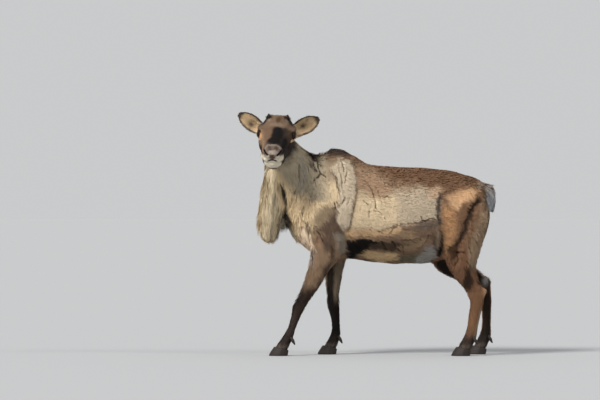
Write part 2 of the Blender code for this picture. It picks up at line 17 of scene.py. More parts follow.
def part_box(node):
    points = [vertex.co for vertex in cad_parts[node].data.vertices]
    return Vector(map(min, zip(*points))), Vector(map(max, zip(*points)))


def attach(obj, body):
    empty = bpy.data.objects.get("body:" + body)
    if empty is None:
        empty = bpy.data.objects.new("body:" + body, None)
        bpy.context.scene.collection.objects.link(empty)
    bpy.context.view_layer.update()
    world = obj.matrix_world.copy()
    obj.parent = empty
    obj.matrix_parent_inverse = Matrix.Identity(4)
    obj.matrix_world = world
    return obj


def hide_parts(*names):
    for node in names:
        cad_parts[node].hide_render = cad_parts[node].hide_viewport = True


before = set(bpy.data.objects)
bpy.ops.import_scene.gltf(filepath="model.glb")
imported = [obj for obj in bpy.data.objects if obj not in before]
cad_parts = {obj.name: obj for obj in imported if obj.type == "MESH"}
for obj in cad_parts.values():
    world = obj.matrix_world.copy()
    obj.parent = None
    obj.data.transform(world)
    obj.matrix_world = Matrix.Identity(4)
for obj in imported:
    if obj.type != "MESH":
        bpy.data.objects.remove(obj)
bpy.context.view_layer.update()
rng = np.random.default_rng(29)
tuft_share = 1.0

# The side drawing that markings and folds are placed on: 4.7 mm to a unit, soles at 356
UNIT = 0.0047
DRAWING_ZERO = 367.6
DRAWING_SOLES = 356.0

LEG_NAMES = ("leg_fore_left", "leg_fore_right", "leg_hind_left", "leg_hind_right")
LEG_PARTS = ("_upper", "_cannon", "_foot")
LEG_NODES = [leg + part for leg in LEG_NAMES for part in LEG_PARTS]
BODY_NODES = ["trunk", "neck", "throat_mane", "tail", *LEG_NODES]
CLAWS = ("_claw_near", "_claw_far", "_dewclaw_near", "_dewclaw_far")

# How nodes are fused into skins, in metres: how far each swells to meet its neighbours, how fine the
# skin's mesh is, and how many rounds it is smoothed
SWELL = 0.0006
BODY_MESH, BODY_ROUNDS = 0.0062, 6
HEAD_MESH, HEAD_ROUNDS = 0.0021, 26
HOOF_MESH, HOOF_ROUNDS = 0.0020, 9
STUB_MESH, STUB_ROUNDS = 0.0018, 6
# Share of the finished skin's triangles that stays, which keeps it under 200,000 as one piece
SKIN_SHARE = 0.60

# Heights above the soles: the lowest tips of the mane and of the tail, where the legs' coat thins out
# above the hooves, and above which the neck's coat gives way to the head's
MANE_LOW = 0.525
TAIL_LOW = 0.672
CORONET = (0.052, 0.034)
NECK_FOOT = 0.70

# The head's own axes: along the face from between the eyes, up, and to its left
HEAD_YAW = math.radians(5.0)
HEAD_PITCH = math.radians(22.0)
EYE_ALONG = 0.022
EYE_RADIUS = 0.0165
# The coat's depth on the head, and the depth of the neck's hair where it ends under the head's
HEAD_DEPTH = 0.0035
NAPE_DEPTH = 0.0045
NECK_DEPTH_UNDER_HEAD = 0.028


def box_middle(node):
    low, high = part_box(node)
    return (low + high) / 2


eye_left_place = box_middle("eye_left")
eye_right_place = box_middle("eye_right")
head_left = (eye_left_place - eye_right_place).normalized()
head_forward = Vector((-math.sin(HEAD_YAW) * math.cos(HEAD_PITCH),
                       -math.cos(HEAD_YAW) * math.cos(HEAD_PITCH), -math.sin(HEAD_PITCH)))
head_forward = (head_forward - head_left * head_forward.dot(head_left)).normalized()
head_up = head_forward.cross(head_left)
if head_up.z < 0.0:
    head_up = -head_up
head_origin = (eye_left_place + eye_right_place) / 2 - head_forward * EYE_ALONG
HEAD_TURN = np.array([tuple(head_forward), tuple(head_up), tuple(head_left)])
mid_y = (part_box("trunk")[0].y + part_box("trunk")[1].y) / 2

# The plane where the head meets the neck
NECK_PLANE_POINT = Vector((-0.4257, -0.0658, 0.930))
NECK_PLANE_NORMAL = Vector((0.0, -1.0, 1.0)).normalized()


def past_neck(points):
    """How far points lie beyond the plane that parts the head from the neck."""
    return (points - np.array(NECK_PLANE_POINT)) @ np.array(NECK_PLANE_NORMAL)


def in_head(points):
    """Points in the head's axes: columns along, up and left."""
    return (points - np.array(head_origin)) @ HEAD_TURN.T


# Numbers and noise


def linear(code):
    """An sRGB hex colour as linear red, green and blue."""
    parts = [int(code[i:i + 2], 16) / 255 for i in (1, 3, 5)]
    return np.array([c / 12.92 if c <= 0.04045 else ((c + 0.055) / 1.055) ** 2.4 for c in parts])


def ease(t):
    t = np.clip(t, 0.0, 1.0)
    return t * t * (3 - 2 * t)


def between(low, high, value):
    """0 at low and before it, 1 at high and past it, eased in between. High may be the smaller one."""
    return ease((value - low) / (high - low))


def near(places, middle, far, close=0.0):
    """1 as near as close to a place, 0 as far off as far."""
    return between(far, close, np.linalg.norm(places - np.array(middle), axis=1))


def lattice(ix, iy, iz, seed):
    """A steady random value from -1 to 1 for each whole place."""
    mixed = (ix * 73856093) ^ (iy * 19349663) ^ (iz * 83492791) ^ (seed * 2654435761)
    mixed = (mixed ^ (mixed >> 13)) * 1274126177
    return ((mixed ^ (mixed >> 16)) & 65535) / 32767.5 - 1.0


def cloud(points, size, seed):
    """Smooth noise from -1 to 1 whose lumps are about size metres across."""
    spots = points / size
    whole = np.floor(spots).astype(np.int64)
    part = ease(spots - whole)
    total = np.zeros(len(points))
    for dx in (0, 1):
        for dy in (0, 1):
            for dz in (0, 1):
                weight = ((part[:, 0] if dx else 1 - part[:, 0]) * (part[:, 1] if dy else 1 - part[:, 1])
                          * (part[:, 2] if dz else 1 - part[:, 2]))
                total += weight * lattice(whole[:, 0] + dx, whole[:, 1] + dy, whole[:, 2] + dz, seed)
    return total


def unit(vectors):
    return vectors / np.maximum(np.linalg.norm(vectors, axis=1, keepdims=True), 1e-9)


def line_gap(u, v, line):
    """How far places are from a line of straight pieces on the side drawing."""
    nearest = np.full(len(u), 1e9)
    for (x0, y0), (x1, y1) in zip(line, line[1:]):
        ex, ey = x1 - x0, y1 - y0
        t = np.clip(((u - x0) * ex + (v - y0) * ey) / (ex * ex + ey * ey), 0, 1)
        nearest = np.minimum(nearest, np.hypot(u - x0 - t * ex, v - y0 - t * ey))
    return nearest


def patch_weight(u, v, outline, soft):
    """1 inside a closed outline on the side drawing, 0 outside, eased over soft units."""
    closed = [*outline, outline[0]]
    inside = np.zeros(len(u), bool)
    for (x0, y0), (x1, y1) in zip(closed, closed[1:]):
        inside ^= ((y0 > v) != (y1 > v)) & (u < (x1 - x0) * (v - y0) / (y1 - y0 + 1e-12) + x0)
    nearest = line_gap(u, v, closed)
    return ease(np.where(inside, nearest, -nearest) / soft + 0.5)


def line_weight(u, v, line, width, soft):
    """1 along a line on the side drawing, 0 away from it."""
    return 1.0 - ease((line_gap(u, v, line) - width / 2) / soft + 0.5)


def drawing(points):
    """Where points lie on the side drawing: along it, and down it."""
    return points[:, 0] / UNIT + DRAWING_ZERO, DRAWING_SOLES - points[:, 2] / UNIT


# The skin


def merged_shell(node, swell):
    """A copy of a node with its loose triangles merged, swollen so that it meets its neighbours."""
    bm = bmesh.new()
    bm.from_mesh(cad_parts[node].data)
    bmesh.ops.remove_doubles(bm, verts=bm.verts[:], dist=1e-5)
    bm.normal_update()
    for vertex in bm.verts:
        vertex.co += vertex.normal * swell
    mesh = bpy.data.meshes.new(node + "_shell")
    bm.to_mesh(mesh)
    bm.free()
    return mesh


def evaluated(holder):
    """An object's mesh with its modifiers worked in; the object is removed."""
    bpy.context.view_layer.update()
    graph = bpy.context.evaluated_depsgraph_get()
    mesh = bpy.data.meshes.new_from_object(holder.evaluated_get(graph))
    bpy.data.objects.remove(holder, do_unlink=True)
    return mesh


def new_object(name, mesh):
    made = bpy.data.objects.new(name, mesh)
    bpy.context.scene.collection.objects.link(made)
    return made


def fused(meshes, voxel, smoothing):
    """Closed meshes fused into one even skin."""
    bm = bmesh.new()
    for mesh in meshes:
        bm.from_mesh(mesh)
    joined = bpy.data.meshes.new("joined")
    bm.to_mesh(joined)
    bm.free()
    holder = new_object("fusing", joined)
    fuse = holder.modifiers.new("fuse", "REMESH")
    fuse.mode = "VOXEL"
    fuse.voxel_size = voxel
    smooth = holder.modifiers.new("smooth", "SMOOTH")
    smooth.factor = 0.5
    smooth.iterations = smoothing
    return evaluated(holder)


def positions(mesh):
    values = np.empty(len(mesh.vertices) * 3, np.float32)
    mesh.vertices.foreach_get("co", values)
    return values.reshape(-1, 3).astype(float)


def set_positions(mesh, values):
    mesh.vertices.foreach_set("co", values.astype(np.float32).ravel())
    mesh.update()


def normals(mesh):
    values = np.empty(len(mesh.vertices) * 3, np.float32)
    mesh.vertex_normals.foreach_get("vector", values)
    return values.reshape(-1, 3).astype(float)


def edge_pairs(mesh):
    values = np.empty(len(mesh.edges) * 2, np.int32)
    mesh.edges.foreach_get("vertices", values)
    return values.reshape(-1, 2)


def paint_skin(mesh, colours):
    """Keeps a colour at each vertex, where the materials read it."""
    layer = mesh.color_attributes.new(name="Coat", type="FLOAT_COLOR", domain="POINT")
    values = np.ones((len(mesh.vertices), 4), np.float32)
    values[:, :3] = np.clip(colours, 0, 1)
    layer.data.foreach_set("color", values.ravel())


def soften(values, pairs, rounds):
    """Values at the vertices, blended with their neighbours' a number of times."""
    count = len(values)
    degree = np.maximum(np.bincount(pairs.ravel(), minlength=count), 1)[:, None]
    for _ in range(rounds):
        total = np.stack([np.bincount(pairs[:, 0], weights=values[pairs[:, 1], k], minlength=count)
                          + np.bincount(pairs[:, 1], weights=values[pairs[:, 0], k], minlength=count)
                          for k in range(values.shape[1])], axis=1)
        values = 0.5 * values + 0.5 * total / degree
    return values


def node_labels(points, nodes):
    """For each point, which of the nodes it is nearest to."""
    corners, owners = [], []
    for number, node in enumerate(nodes):
        places = positions(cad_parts[node].data)
        corners.append(places)
        owners += [number] * (len(places) // 3)
    corners = np.concatenate(corners)
    faces = np.arange(len(corners)).reshape(-1, 3)
    tree = BVHTree.FromPolygons(corners.tolist(), faces.tolist())
    found = np.empty(len(points), int)
    for i, place in enumerate(points.tolist()):
        found[i] = owners[tree.find_nearest(place)[2]]
    return found


def surface_tree(mesh):
    """What finds the nearest place on a mesh."""
    holder = new_object("holder", mesh)
    bpy.context.view_layer.update()
    tree = BVHTree.FromObject(holder, bpy.context.evaluated_depsgraph_get())
    bpy.data.objects.remove(holder, do_unlink=True)
    return tree


def follow_skin(tree, points, steps):
    """Where each point comes out on the skin after its step along it."""
    ends = np.empty_like(points)
    facing = np.empty_like(points)
    for i, place in enumerate((points + steps).tolist()):
        spot, normal, _, _ = tree.find_nearest(place)
        ends[i] = spot
        facing[i] = normal
    gap = points + steps - ends
    share_off = np.linalg.norm(gap, axis=1) / np.linalg.norm(steps, axis=1)
    return ends + gap * between(0.25, 0.60, share_off)[:, None], facing


# Coat by part: its depth and its tufts' length and width in metres, and how far tufts gather in locks
COAT = {
    "trunk": (0.009, 0.022, 0.0028, 0.05),
    "neck": (0.026, 0.056, 0.0023, 0.38),
    "throat_mane": (0.027, 0.100, 0.0025, 0.42),
    "tail": (0.015, 0.050, 0.0022, 0.25),
    "fore_upper": (0.010, 0.025, 0.0019, 0.30),
    "hind_upper": (0.013, 0.030, 0.0021, 0.30),
    "cannon": (0.005, 0.015, 0.0017, 0.30),
    "foot": (0.005, 0.022, 0.0018, 0.30),
}
# The way the coat lies by part
COMB = {
    "trunk": (1.0, 0.0, -0.45), "neck": (0.30, 0.0, -1.0), "throat_mane": (-0.05, 0.0, -1.0),
    "tail": (0.20, 0.0, -1.0), "fore_upper": (0.20, 0.0, -1.0), "hind_upper": (0.30, 0.0, -1.0),
    "cannon": (0.0, 0.0, -1.0), "foot": (-0.30, 0.0, -1.0),
}


def coat_part(node):
    """The row of the coat's tables that a node takes."""
    for word in ("cannon", "foot"):
        if node.endswith(word):
            return word
    if node.endswith("_upper"):
        return "fore_upper" if "fore" in node else "hind_upper"
    return node


# Folds and muscles on the side drawing. Lines have a width, softness and height, patches a softness
# and height: heights in metres, below zero for a hollow
RIDGE = [(339, 158), (348, 160), (353, 168), (355, 182), (353, 201), (348.5, 225), (343, 229), (336, 220),
         (339, 200), (338, 185), (331, 168)]
FOLD_LINES = (
    ([(356, 182), (356, 192), (354, 206), (349, 226), (346, 240)], 2.0, 6.0, -0.006),
    ([(480, 190), (474, 206), (465, 222), (460, 238), (456, 252)], 4.5, 9.0, -0.016),
    ([(440, 198), (438, 215), (438.5, 236), (441, 262)], 3.0, 9.0, -0.011),
    ([(329, 170), (336, 190), (336, 214)], 2.0, 7.0, -0.004),
    ([(345, 236), (341, 246), (343, 256)], 2.0, 6.0, -0.010),
    ([(312, 156), (316, 168), (321, 178)], 1.5, 6.0, -0.007),
    ([(390, 226), (420, 221), (438, 219)], 1.5, 5.0, -0.004),
)
FOLD_PATCHES = (
    (RIDGE, 6.0, 0.011),
    ([(447, 192), (462, 188), (478, 187), (481, 194), (470, 206), (456, 211), (449, 204)], 9.0, 0.006),
    ([(444, 212), (460, 216), (458, 245), (446, 262)], 10.0, 0.004),
)


def relief(points, facing):
    """How far the skin stands out or sinks in, for the folds and muscles of the sides."""
    u, v = drawing(points)
    u = u + 1.6 * cloud(points, 0.05, 11)
    v = v + 1.6 * cloud(points, 0.05, 12)
    height = np.zeros(len(points))
    for line, width, soft, amount in FOLD_LINES:
        height += amount * line_weight(u, v, line, width, soft)
    for outline, soft, amount in FOLD_PATCHES:
        height += amount * patch_weight(u, v, outline, soft)
    sideways = between(0.25, 0.75, np.abs(facing[:, 1]))
    return height * sideways + 0.0022 * cloud(points, 0.035, 13)


class Skin:
    """A skin mesh with what the coat needs at each of its vertices."""

    def __init__(self, mesh):
        self.mesh = mesh
        self.points = positions(mesh)
        self.facing = normals(mesh)
        self.pairs = edge_pairs(mesh)

    def refresh(self):
        self.points = positions(self.mesh)
        self.facing = normals(self.mesh)

    def sink(self, depth, steps=5):
        """Moves the skin inwards by a depth at each vertex, a little at a time."""
        for _ in range(steps):
            moved = self.points - self.facing * (depth / steps)[:, None]
            moved = 0.75 * moved + 0.25 * soften(moved, self.pairs, 1)
            set_positions(self.mesh, moved)
            self.refresh()


def finish_fields(skin, fields):
    """Keeps the coat's numbers with the skin: depth, length, width, lock and comb, one row a vertex."""
    skin.depth, skin.length, skin.width, skin.lock = fields[:, :4].T
    comb = fields[:, 4:7]
    comb = comb - skin.facing * np.sum(comb * skin.facing, axis=1)[:, None]
    skin.comb = unit(comb)
    skin.tree = surface_tree(skin.mesh)
    skin.ends, skin.end_facing = follow_skin(skin.tree, skin.points, skin.comb * skin.length[:, None])
    skin.ends -= skin.points
    reach = np.linalg.norm(skin.ends, axis=1)
    skin.ends *= np.minimum(1.0, 1.05 * skin.length / np.maximum(reach, 1e-6))[:, None]


def nape_depth(beyond, deep):
    """Depth of the coat round the top of the neck, where the long hair gives way to the head's short hair."""
    return NAPE_DEPTH + (deep - NAPE_DEPTH) * between(-0.005, -0.11, beyond)


def body_skin():
    """The skin of trunk, neck, mane, tail and legs, with how the coat grows from each place of it."""
    skin = Skin(fused([merged_shell(node, SWELL) for node in BODY_NODES], BODY_MESH, BODY_ROUNDS))
    labels = node_labels(skin.points, BODY_NODES)
    parts = [coat_part(node) for node in BODY_NODES]
    depth, length, width, lock = np.array([COAT[part] for part in parts])[labels].T
    comb = np.array([COMB[part] for part in parts])[labels]
    trunk, mane, tail = (labels == BODY_NODES.index(node) for node in ("trunk", "throat_mane", "tail"))
    along, z = drawing(skin.points)[0], skin.points[:, 2]
    side, upward = np.abs(skin.facing[:, 1]), skin.facing[:, 2]
    shoulder = trunk * between(355, 325, along)
    rump = trunk * between(445, 480, along)
    belly = trunk * between(0.3, 0.8, -upward)
    comb[:, 2] = np.where(trunk, -0.15 - 0.45 * side - 1.2 * shoulder * side - 0.8 * rump, comb[:, 2])
    depth = depth + 0.005 * shoulder - 0.011 * mane * between(0.66, 0.58, z)
    length = length + 0.018 * shoulder + 0.010 * belly
    # Mane and tail thin out towards their tips, so that no hair hangs below them
    length = np.where(mane, np.minimum(length, np.maximum(z - MANE_LOW, 0.02)), length)
    length = np.where(tail, np.minimum(length, np.maximum(z - TAIL_LOW, 0.015)), length)
    length = length * (1 - 0.5 * tail * between(0.1, 0.6, upward))
    high = z > NECK_FOOT
    beyond = past_neck(skin.points)
    depth = np.where(high, nape_depth(beyond, depth), depth)
    length = length * (1 - 0.45 * between(-0.12, 0.0, beyond) * high)
    depth = depth * (1 - between(*CORONET, z))
    fields = soften(np.column_stack([depth, length, width, lock, comb]), skin.pairs, 25)
    skin.sink(fields[:, 0] - relief(skin.points, skin.facing) * (1 - between(0.30, 0.2, z)))
    skin.labels = labels
    finish_fields(skin, fields)
    return skin


# Places on the head, in its own axes: a nostril's slit by height and distance from the middle, how far
# forward it begins, the mouth line's height, and how far back it reaches
NOSTRIL = ((-0.001, 0.0400), (-0.007, 0.0360), (-0.014, 0.0300), (-0.021, 0.0225))
NOSTRIL_FRONT = 0.195
MOUTH_HEIGHT = -0.0550
MOUTH_BACK = 0.125


def head_fields(points):
    """Places along, up, left and sideways on the head, and how far off nostril, mouth line and eye are."""
    along, up, left = in_head(points).T
    side = np.abs(left)
    mirrored = np.column_stack([along, up, side])
    nostril = line_gap(up, side, NOSTRIL) + 4 * np.maximum(0, NOSTRIL_FRONT - along)
    line_height = MOUTH_HEIGHT + 0.004 * np.cos(np.clip(side / 0.03, 0, 1) * math.pi) - (0.215 - along) * 0.07
    mouth = np.abs(up - line_height) + 10 * np.maximum(0, MOUTH_BACK - along)
    half_apart = (eye_left_place - eye_right_place).length / 2
    eye = np.linalg.norm(mirrored - np.array((EYE_ALONG, 0.0, half_apart)), axis=1)
    return along, up, left, side, nostril, mouth, eye


def tuck_under(skin, outer):
    """Brings the start of the neck 4 mm below the body's own skin, so that no rim shows."""
    spots = skin.points.copy()
    beyond = past_neck(spots)
    start, run = -0.002, 0.008
    for i in np.nonzero(beyond < start)[0]:
        nearest, normal, _, _ = outer.tree.find_nearest(spots[i])
        apart = (Vector(spots[i]) - nearest).dot(normal)
        limit = -0.0040 * min(1.0, (start - beyond[i]) / run)
        if apart > limit:
            spots[i] = nearest + normal * limit
    set_positions(skin.mesh, spots)
    skin.refresh()


def head_skin():
    """The head's skin with lips, nostrils and hollows, and the neck's start sunk under the body's."""
    neck = merged_shell("neck", SWELL)
    bm = bmesh.new()
    bm.from_mesh(neck)
    everything = bm.verts[:] + bm.edges[:] + bm.faces[:]
    cut = NECK_PLANE_POINT - NECK_PLANE_NORMAL * 0.035
    bmesh.ops.bisect_plane(bm, geom=everything, dist=1e-7, plane_co=cut, plane_no=NECK_PLANE_NORMAL,
                           clear_inner=True)
    bmesh.ops.triangle_fill(bm, use_beauty=True, use_dissolve=False,
                            edges=[edge for edge in bm.edges if edge.is_boundary])
    bm.to_mesh(neck)
    bm.free()
    skin = Skin(fused([merged_shell("head", SWELL), neck], HEAD_MESH, HEAD_ROUNDS))
    along, up, left, side, nostril, mouth, _ = head_fields(skin.points)
    mirrored = np.column_stack([along, up, side])
    beyond = past_neck(skin.points)
    back = between(0.055, -0.005, beyond)
    behind = between(-0.01, -0.05, along) * (up > 0)
    snout = between(0.13, 0.19, along)

    # How deep the coat is, which is also where the skin sinks into lips, hollows and nostrils
    depth = HEAD_DEPTH + 0.0010 * back
    tucked = between(0.004, -0.012, beyond)
    depth = depth + tucked * (nape_depth(beyond, NECK_DEPTH_UNDER_HEAD) - NAPE_DEPTH + 0.0020)
    depth = depth + 0.0060 * between(0.0040, 0.0006, nostril) + 0.0012 * between(0.010, 0.003, nostril)
    lips = between(MOUTH_BACK, MOUTH_BACK + 0.03, along) * (1 - between(0.020, 0.030, side) * (along > 0.17))
    depth = depth + 0.0028 * between(0.0050, 0.0, mouth) * lips
    corner = between(0.014, 0.0, np.abs(up - MOUTH_HEIGHT)) * between(0.014, 0.026, side)
    depth = depth - 0.0055 * (corner * between(0.14, 0.17, along))
    chin_edge = between(0.018, 0.034, side) * between(-0.075, -0.095, up) * between(0.15, 0.18, along)
    depth = depth + 0.0030 * chin_edge
    wing = between(0.010, 0.0, np.abs(nostril - 0.009)) * between(0.19, 0.22, along)
    depth = depth - 0.0014 * wing
    philtrum = between(0.006, 0.0, side) * between(-0.020, -0.026, up) * between(-0.055, -0.048, up)
    depth = depth + 0.0020 * (philtrum * (along > 0.15))
    temple = near(mirrored, (-0.030, 0.018, 0.075), 0.045)
    depth = depth + 0.006 * temple
    bridge = between(0.030, 0.010, side) * between(0.02, 0.06, along) * between(0.19, 0.15, along) * (up > 0)
    depth = depth - 0.002 * bridge
    brow_end = near(mirrored, (0.002, 0.044, 0.078), 0.034, 0.006)
    depth = depth + 0.011 * brow_end
    gland = near(mirrored, (0.058, -0.008, 0.058), 0.016)
    depth = depth + 0.004 * gland
    cheekbone = between(0.020, 0.0, np.abs(up + 0.032 + 0.10 * (along - 0.02))) * between(-0.05, 0.0, along)
    cheekbone = cheekbone * between(0.13, 0.08, along)
    depth = depth - 0.002 * cheekbone + 0.0006 * cloud(skin.points, 0.012, 31)
    skin.sink(depth, steps=3)
    tuck_under(skin, body)

    # How long the hair is, and how it lies: backwards, away from the eyes, and up round the stubs
    length = 0.0085 + 0.006 * between(-0.02, -0.08, along) + 0.020 * back
    length = length - 0.0048 * snout
    length = length + 0.010 * between(0.055, 0.01, side) * behind
    length = length + 0.004 * cloud(skin.points, 0.020, 32) * between(0.0, -0.04, along)
    length = length + 0.012 * between(0.03, 0.0, side) * between(-0.055, -0.085, along) * (up > 0)
    comb = np.tile(np.array(-head_forward), (len(side), 1))
    comb += np.array(-head_up) * (0.55 * between(0.0, -0.05, up))[:, None]
    parted = np.sign(left) * 0.35 * between(0.05, 0.0, side) * between(0.02, -0.02, along)
    comb += np.array(head_left) * parted[:, None]
    comb += np.array((0.0, 0.0, -1.4)) * back[:, None]
    for place in (eye_left_place, eye_right_place):
        away = skin.points - np.array(place)
        comb += unit(away) * (1.2 * between(0.034, 0.018, np.linalg.norm(away, axis=1)))[:, None]
    crest = between(0.07, 0.03, side) * behind
    ruff = near(mirrored, (-0.055, 0.046, 0.0445), 0.034, 0.014)
    length = length + 0.010 * ruff
    comb += np.array(head_up) * (1.2 * ruff)[:, None]
    height = HEAD_DEPTH + 0.007 * back + 0.004 * crest + 0.005 * ruff - 0.0014 * snout
    width = 0.0013 + 0.0006 * back
    lock = 0.25 + 0.3 * back
    finish_fields(skin, soften(np.column_stack([height, length, width, lock, comb]), skin.pairs, 12))
    return skin


# Colours of the coat, sRGB. Among them are painted shade (crease, armpit, chest and belly undersides,
# grooves, legs' inner sides, nostril slits, ear hollows, the head's left side, part of the neck's grey) and
# painted light (thigh, crown, ear roots, the head's right side)
TONE = {name: linear(code) for name, code in {
    "upper_flank": "#94795f", "flank_blotch": "#795d49", "flank_mottle": "#a88b70",
    "flank_cream": "#d3bf9f", "flank_grey": "#bcab94", "back": "#785a44", "hump": "#4a3c35",
    "rump": "#7b5d46", "hip_pale": "#c3a68a", "thigh_tan": "#d6ae85", "stripe": "#7d6552",
    "fringe": "#c0a17c", "stripe_tan": "#967d62", "stripe_grey": "#6b5c50", "band_dark": "#46382b",
    "edge_dark": "#3b2d23", "pit_black": "#120e0b", "belly": "#d6b78c", "belly_edge": "#6d6450",
    "groin": "#a39d95", "crease": "#0d0908", "crease_soft": "#4b4037", "ridge": "#c4b49d",
    "ridge_shade": "#6f5b49", "shoulder": "#e4cca6", "shoulder_dark": "#5d4b3e", "breast": "#ecd6ba",
    "chest_dark": "#1a1310", "arm_grey": "#8f8373", "neck": "#b2a48c", "neck_lit": "#dcc39b",
    "nape": "#453b37", "neck_grey": "#a79e8f", "shoulder_mid": "#8f7c64", "mane": "#d2c1a2",
    "mane_shade": "#6b6253", "mane_groove": "#2a2522", "tail": "#a5a6a8", "tail_top": "#9a8470",
    "fore_upper": "#8c735c", "fore_light": "#9d8a79", "fore_dark": "#372a22", "knee": "#2a211d",
    "fore_cannon": "#3c312c", "foot": "#2e2623", "thigh": "#7b5a43", "thigh_warm": "#b58a62",
    "thigh_dark": "#47311f", "thigh_shade": "#5f544c", "groove": "#33251a", "thigh_rear": "#9a8269",
    "hind_cannon": "#805e44", "hock": "#b68e6d", "hock_pale": "#b9b2aa", "leg_inner_shade": "#14100e",
    "inner_cream": "#a8957c", "coronet": "#6f6258", "cheek_dark_and_shade": "#322a27", "crown": "#755f4d",
    "bridge": "#130e0d", "brow": "#6d5847", "ring": "#d9b892", "shaded_side_brown": "#4c3a2c",
    "lit_side_tone": "#8f745b", "lit_side_brown": "#6e5745", "lit_side_highlight": "#c99a6b", "crown_highlight": "#806c5b",
    "crown_side_highlight": "#8d7d6d", "crown_dark": "#54412f", "nose": "#6c5e53", "nose_spot": "#4f433b",
    "nose_pale": "#ab9d90", "nose_dark": "#5b504a", "nose_rim": "#8b7e72", "philtrum": "#634f40",
    "lip": "#d8ccb8", "chin": "#2c2521", "slit_shade": "#080605", "ear_cream": "#dcbf97", "ear_brown": "#8d7259",
    "ear_hollow_shade": "#4d3a2d", "ear_root_painted_light": "#f6d8ae", "ear_dark": "#3a302d", "lid": "#1a1411",
    "sclera": "#1c120d", "iris": "#2a180e", "pupil": "#070505", "pedicle": "#3d2f28",
}.items()}

# Markings on the side drawing, each laid over those before it. A patch has a tone, a softness and an
# outline, a line has a tone, a width, a softness and its points
BODY_MARKS = (
    ("patch", "flank_cream", 14.0, [(356, 190), (372, 196), (400, 193), (424, 190), (436, 203),
      (436, 215), (421, 220), (404, 224), (388, 229), (366, 229.5), (346, 228), (353, 208)]),
    ("patch", "flank_mottle", 10.0, [(354, 166), (362, 166), (372, 171), (384, 180), (390, 192),
      (382, 200), (366, 192), (356, 184)]),
    ("patch", "flank_grey", 14.0, [(396, 192), (424, 188), (440, 203), (440, 218), (421, 222),
      (398, 226)]),
    ("patch", "back", 11.0, [(335, 130), (510, 130), (510, 192), (478, 187), (458, 189), (446, 191),
      (432, 184), (424, 185), (404, 182), (390, 178), (380, 173), (368, 166), (350, 159), (335, 156)]),
    ("patch", "rump", 6.0, [(442, 194), (455, 184), (505, 180), (505, 310), (438, 310), (440, 262),
      (439, 220)]),
    ("patch", "rump", 4.0, [(418, 178), (438, 174), (440, 184), (432, 189), (420, 186)]),
    ("patch", "hip_pale", 5.0, [(428, 190), (436, 187), (440, 191), (436, 199), (428, 200)]),
    ("patch", "stripe", 4.0, [(345, 240), (377, 238), (389, 232), (404, 226.5), (421, 221.5), (441, 219),
      (441, 240), (432, 251), (410, 253), (385, 251), (365, 246), (345, 246)]),
    ("patch", "fringe", 3.5, [(345, 230), (366, 230.5), (384, 230), (398, 227), (402, 232), (388, 235.5),
      (370, 235), (356, 235), (345, 237)]),
    ("patch", "stripe_grey", 6.0, [(416, 223), (434, 220), (436, 226), (426, 230), (412, 228)]),
    ("patch", "stripe_tan", 5.0, [(396, 233), (412, 230), (418, 236), (428, 240), (424, 247), (404, 251),
      (398, 244), (410, 240), (400, 237)]),
    ("patch", "band_dark", 3.5, [(362, 240), (376, 239.5), (390, 241), (402, 243), (398, 246), (392, 251),
      (380, 248), (366, 247)]),
    ("line", "band_dark", 1.0, 3.0, [(402, 243), (412, 242), (420, 239)]),
    ("line", "edge_dark", 0.9, 1.6, [(377, 230.6), (386, 228.5), (395, 226), (400, 224.4), (409, 223.3),
      (422, 221.2), (434, 219.5)]),
    ("line", "fringe", 0.6, 2.0, [(345, 229), (358, 230), (372, 230.5)]),
    ("patch", "belly", 4.0, [(360, 252), (368, 249), (385, 252), (397, 252), (400, 257), (390, 260),
      (378, 260), (366, 257)]),
    # painted shade on the belly's underside, towards the thigh and along its lower edge
    ("patch", "belly_edge", 4.0, [(398, 255), (416, 252), (422, 258), (410, 262), (396, 262)]),
    ("line", "belly_edge", 2.0, 4.0, [(352, 259), (375, 262), (400, 265), (420, 262)]),
    # the armpit behind the foreleg: its dark coat, painted near black as shade
    ("patch", "pit_black", 1.8, [(340, 246), (347, 240.5), (354, 238.5), (362, 238.2), (370, 238.8),
      (378, 240), (370, 245), (362, 250), (356, 255), (342, 262)]),
    ("patch", "groin", 5.0, [(414, 257), (422, 249), (429, 245), (434, 246), (437, 264), (430, 272),
      (415, 270)]),
    # painted shade down the crease between flank and thigh, soft above
    ("line", "crease_soft", 4.5, 3.5, [(440, 196), (437, 205), (437, 214), (438.5, 222)]),
    ("line", "arm_grey", 1.4, 3.5, [(436, 228), (436.5, 240), (437, 247)]),
    ("line", "band_dark", 1.6, 4.0, [(431.5, 232), (433, 243), (435, 252)]),
    # painted shade, near black, low in the crease between flank and thigh
    ("patch", "crease", 2.0, [(440, 230), (442, 232), (443, 246), (442, 258), (438, 257), (435, 250),
      (439, 246), (440, 238)]),
    ("patch", "shoulder", 9.0, [(290, 188), (340, 180), (344, 204), (330, 209), (318, 222), (304, 246),
      (285, 232)]),
    ("patch", "shoulder_mid", 8.0, [(322, 206), (336, 202), (342, 208), (338, 222), (316, 226),
      (312, 220)]),
    ("patch", "shoulder_mid", 5.0, [(294, 222), (304, 225), (316, 228), (314, 234), (304, 233),
      (298, 236)]),
    ("patch", "shoulder_dark", 7.0, [(334, 210), (342, 212), (345, 226), (343, 236), (333, 238),
      (322, 232), (314, 229), (324, 222)]),
    ("patch", "breast", 4.0, [(297, 226), (306, 228), (313, 238), (316, 250), (307, 254), (298, 241)]),
    ("patch", "arm_grey", 5.0, [(333, 236), (343, 232), (346, 250), (336, 252)]),
    # painted shade along the chest's underside
    ("line", "chest_dark", 4.0, 2.5, [(281, 229), (293, 242), (308, 257), (335, 266)]),
    ("patch", "ridge", 3.5, RIDGE),
    ("line", "ridge_shade", 1.8, 2.8, [(355.5, 188), (354, 201), (351.5, 214), (348.5, 228)]),
    ("patch", "hump", 4.0, [(300, 138), (345, 138), (366, 158), (352, 157), (338, 156.5), (322, 157),
      (308, 158), (300, 150)]),
    ("patch", "tail_top", 4.0, [(478, 178), (486, 178), (487, 188), (478, 190)]),
)
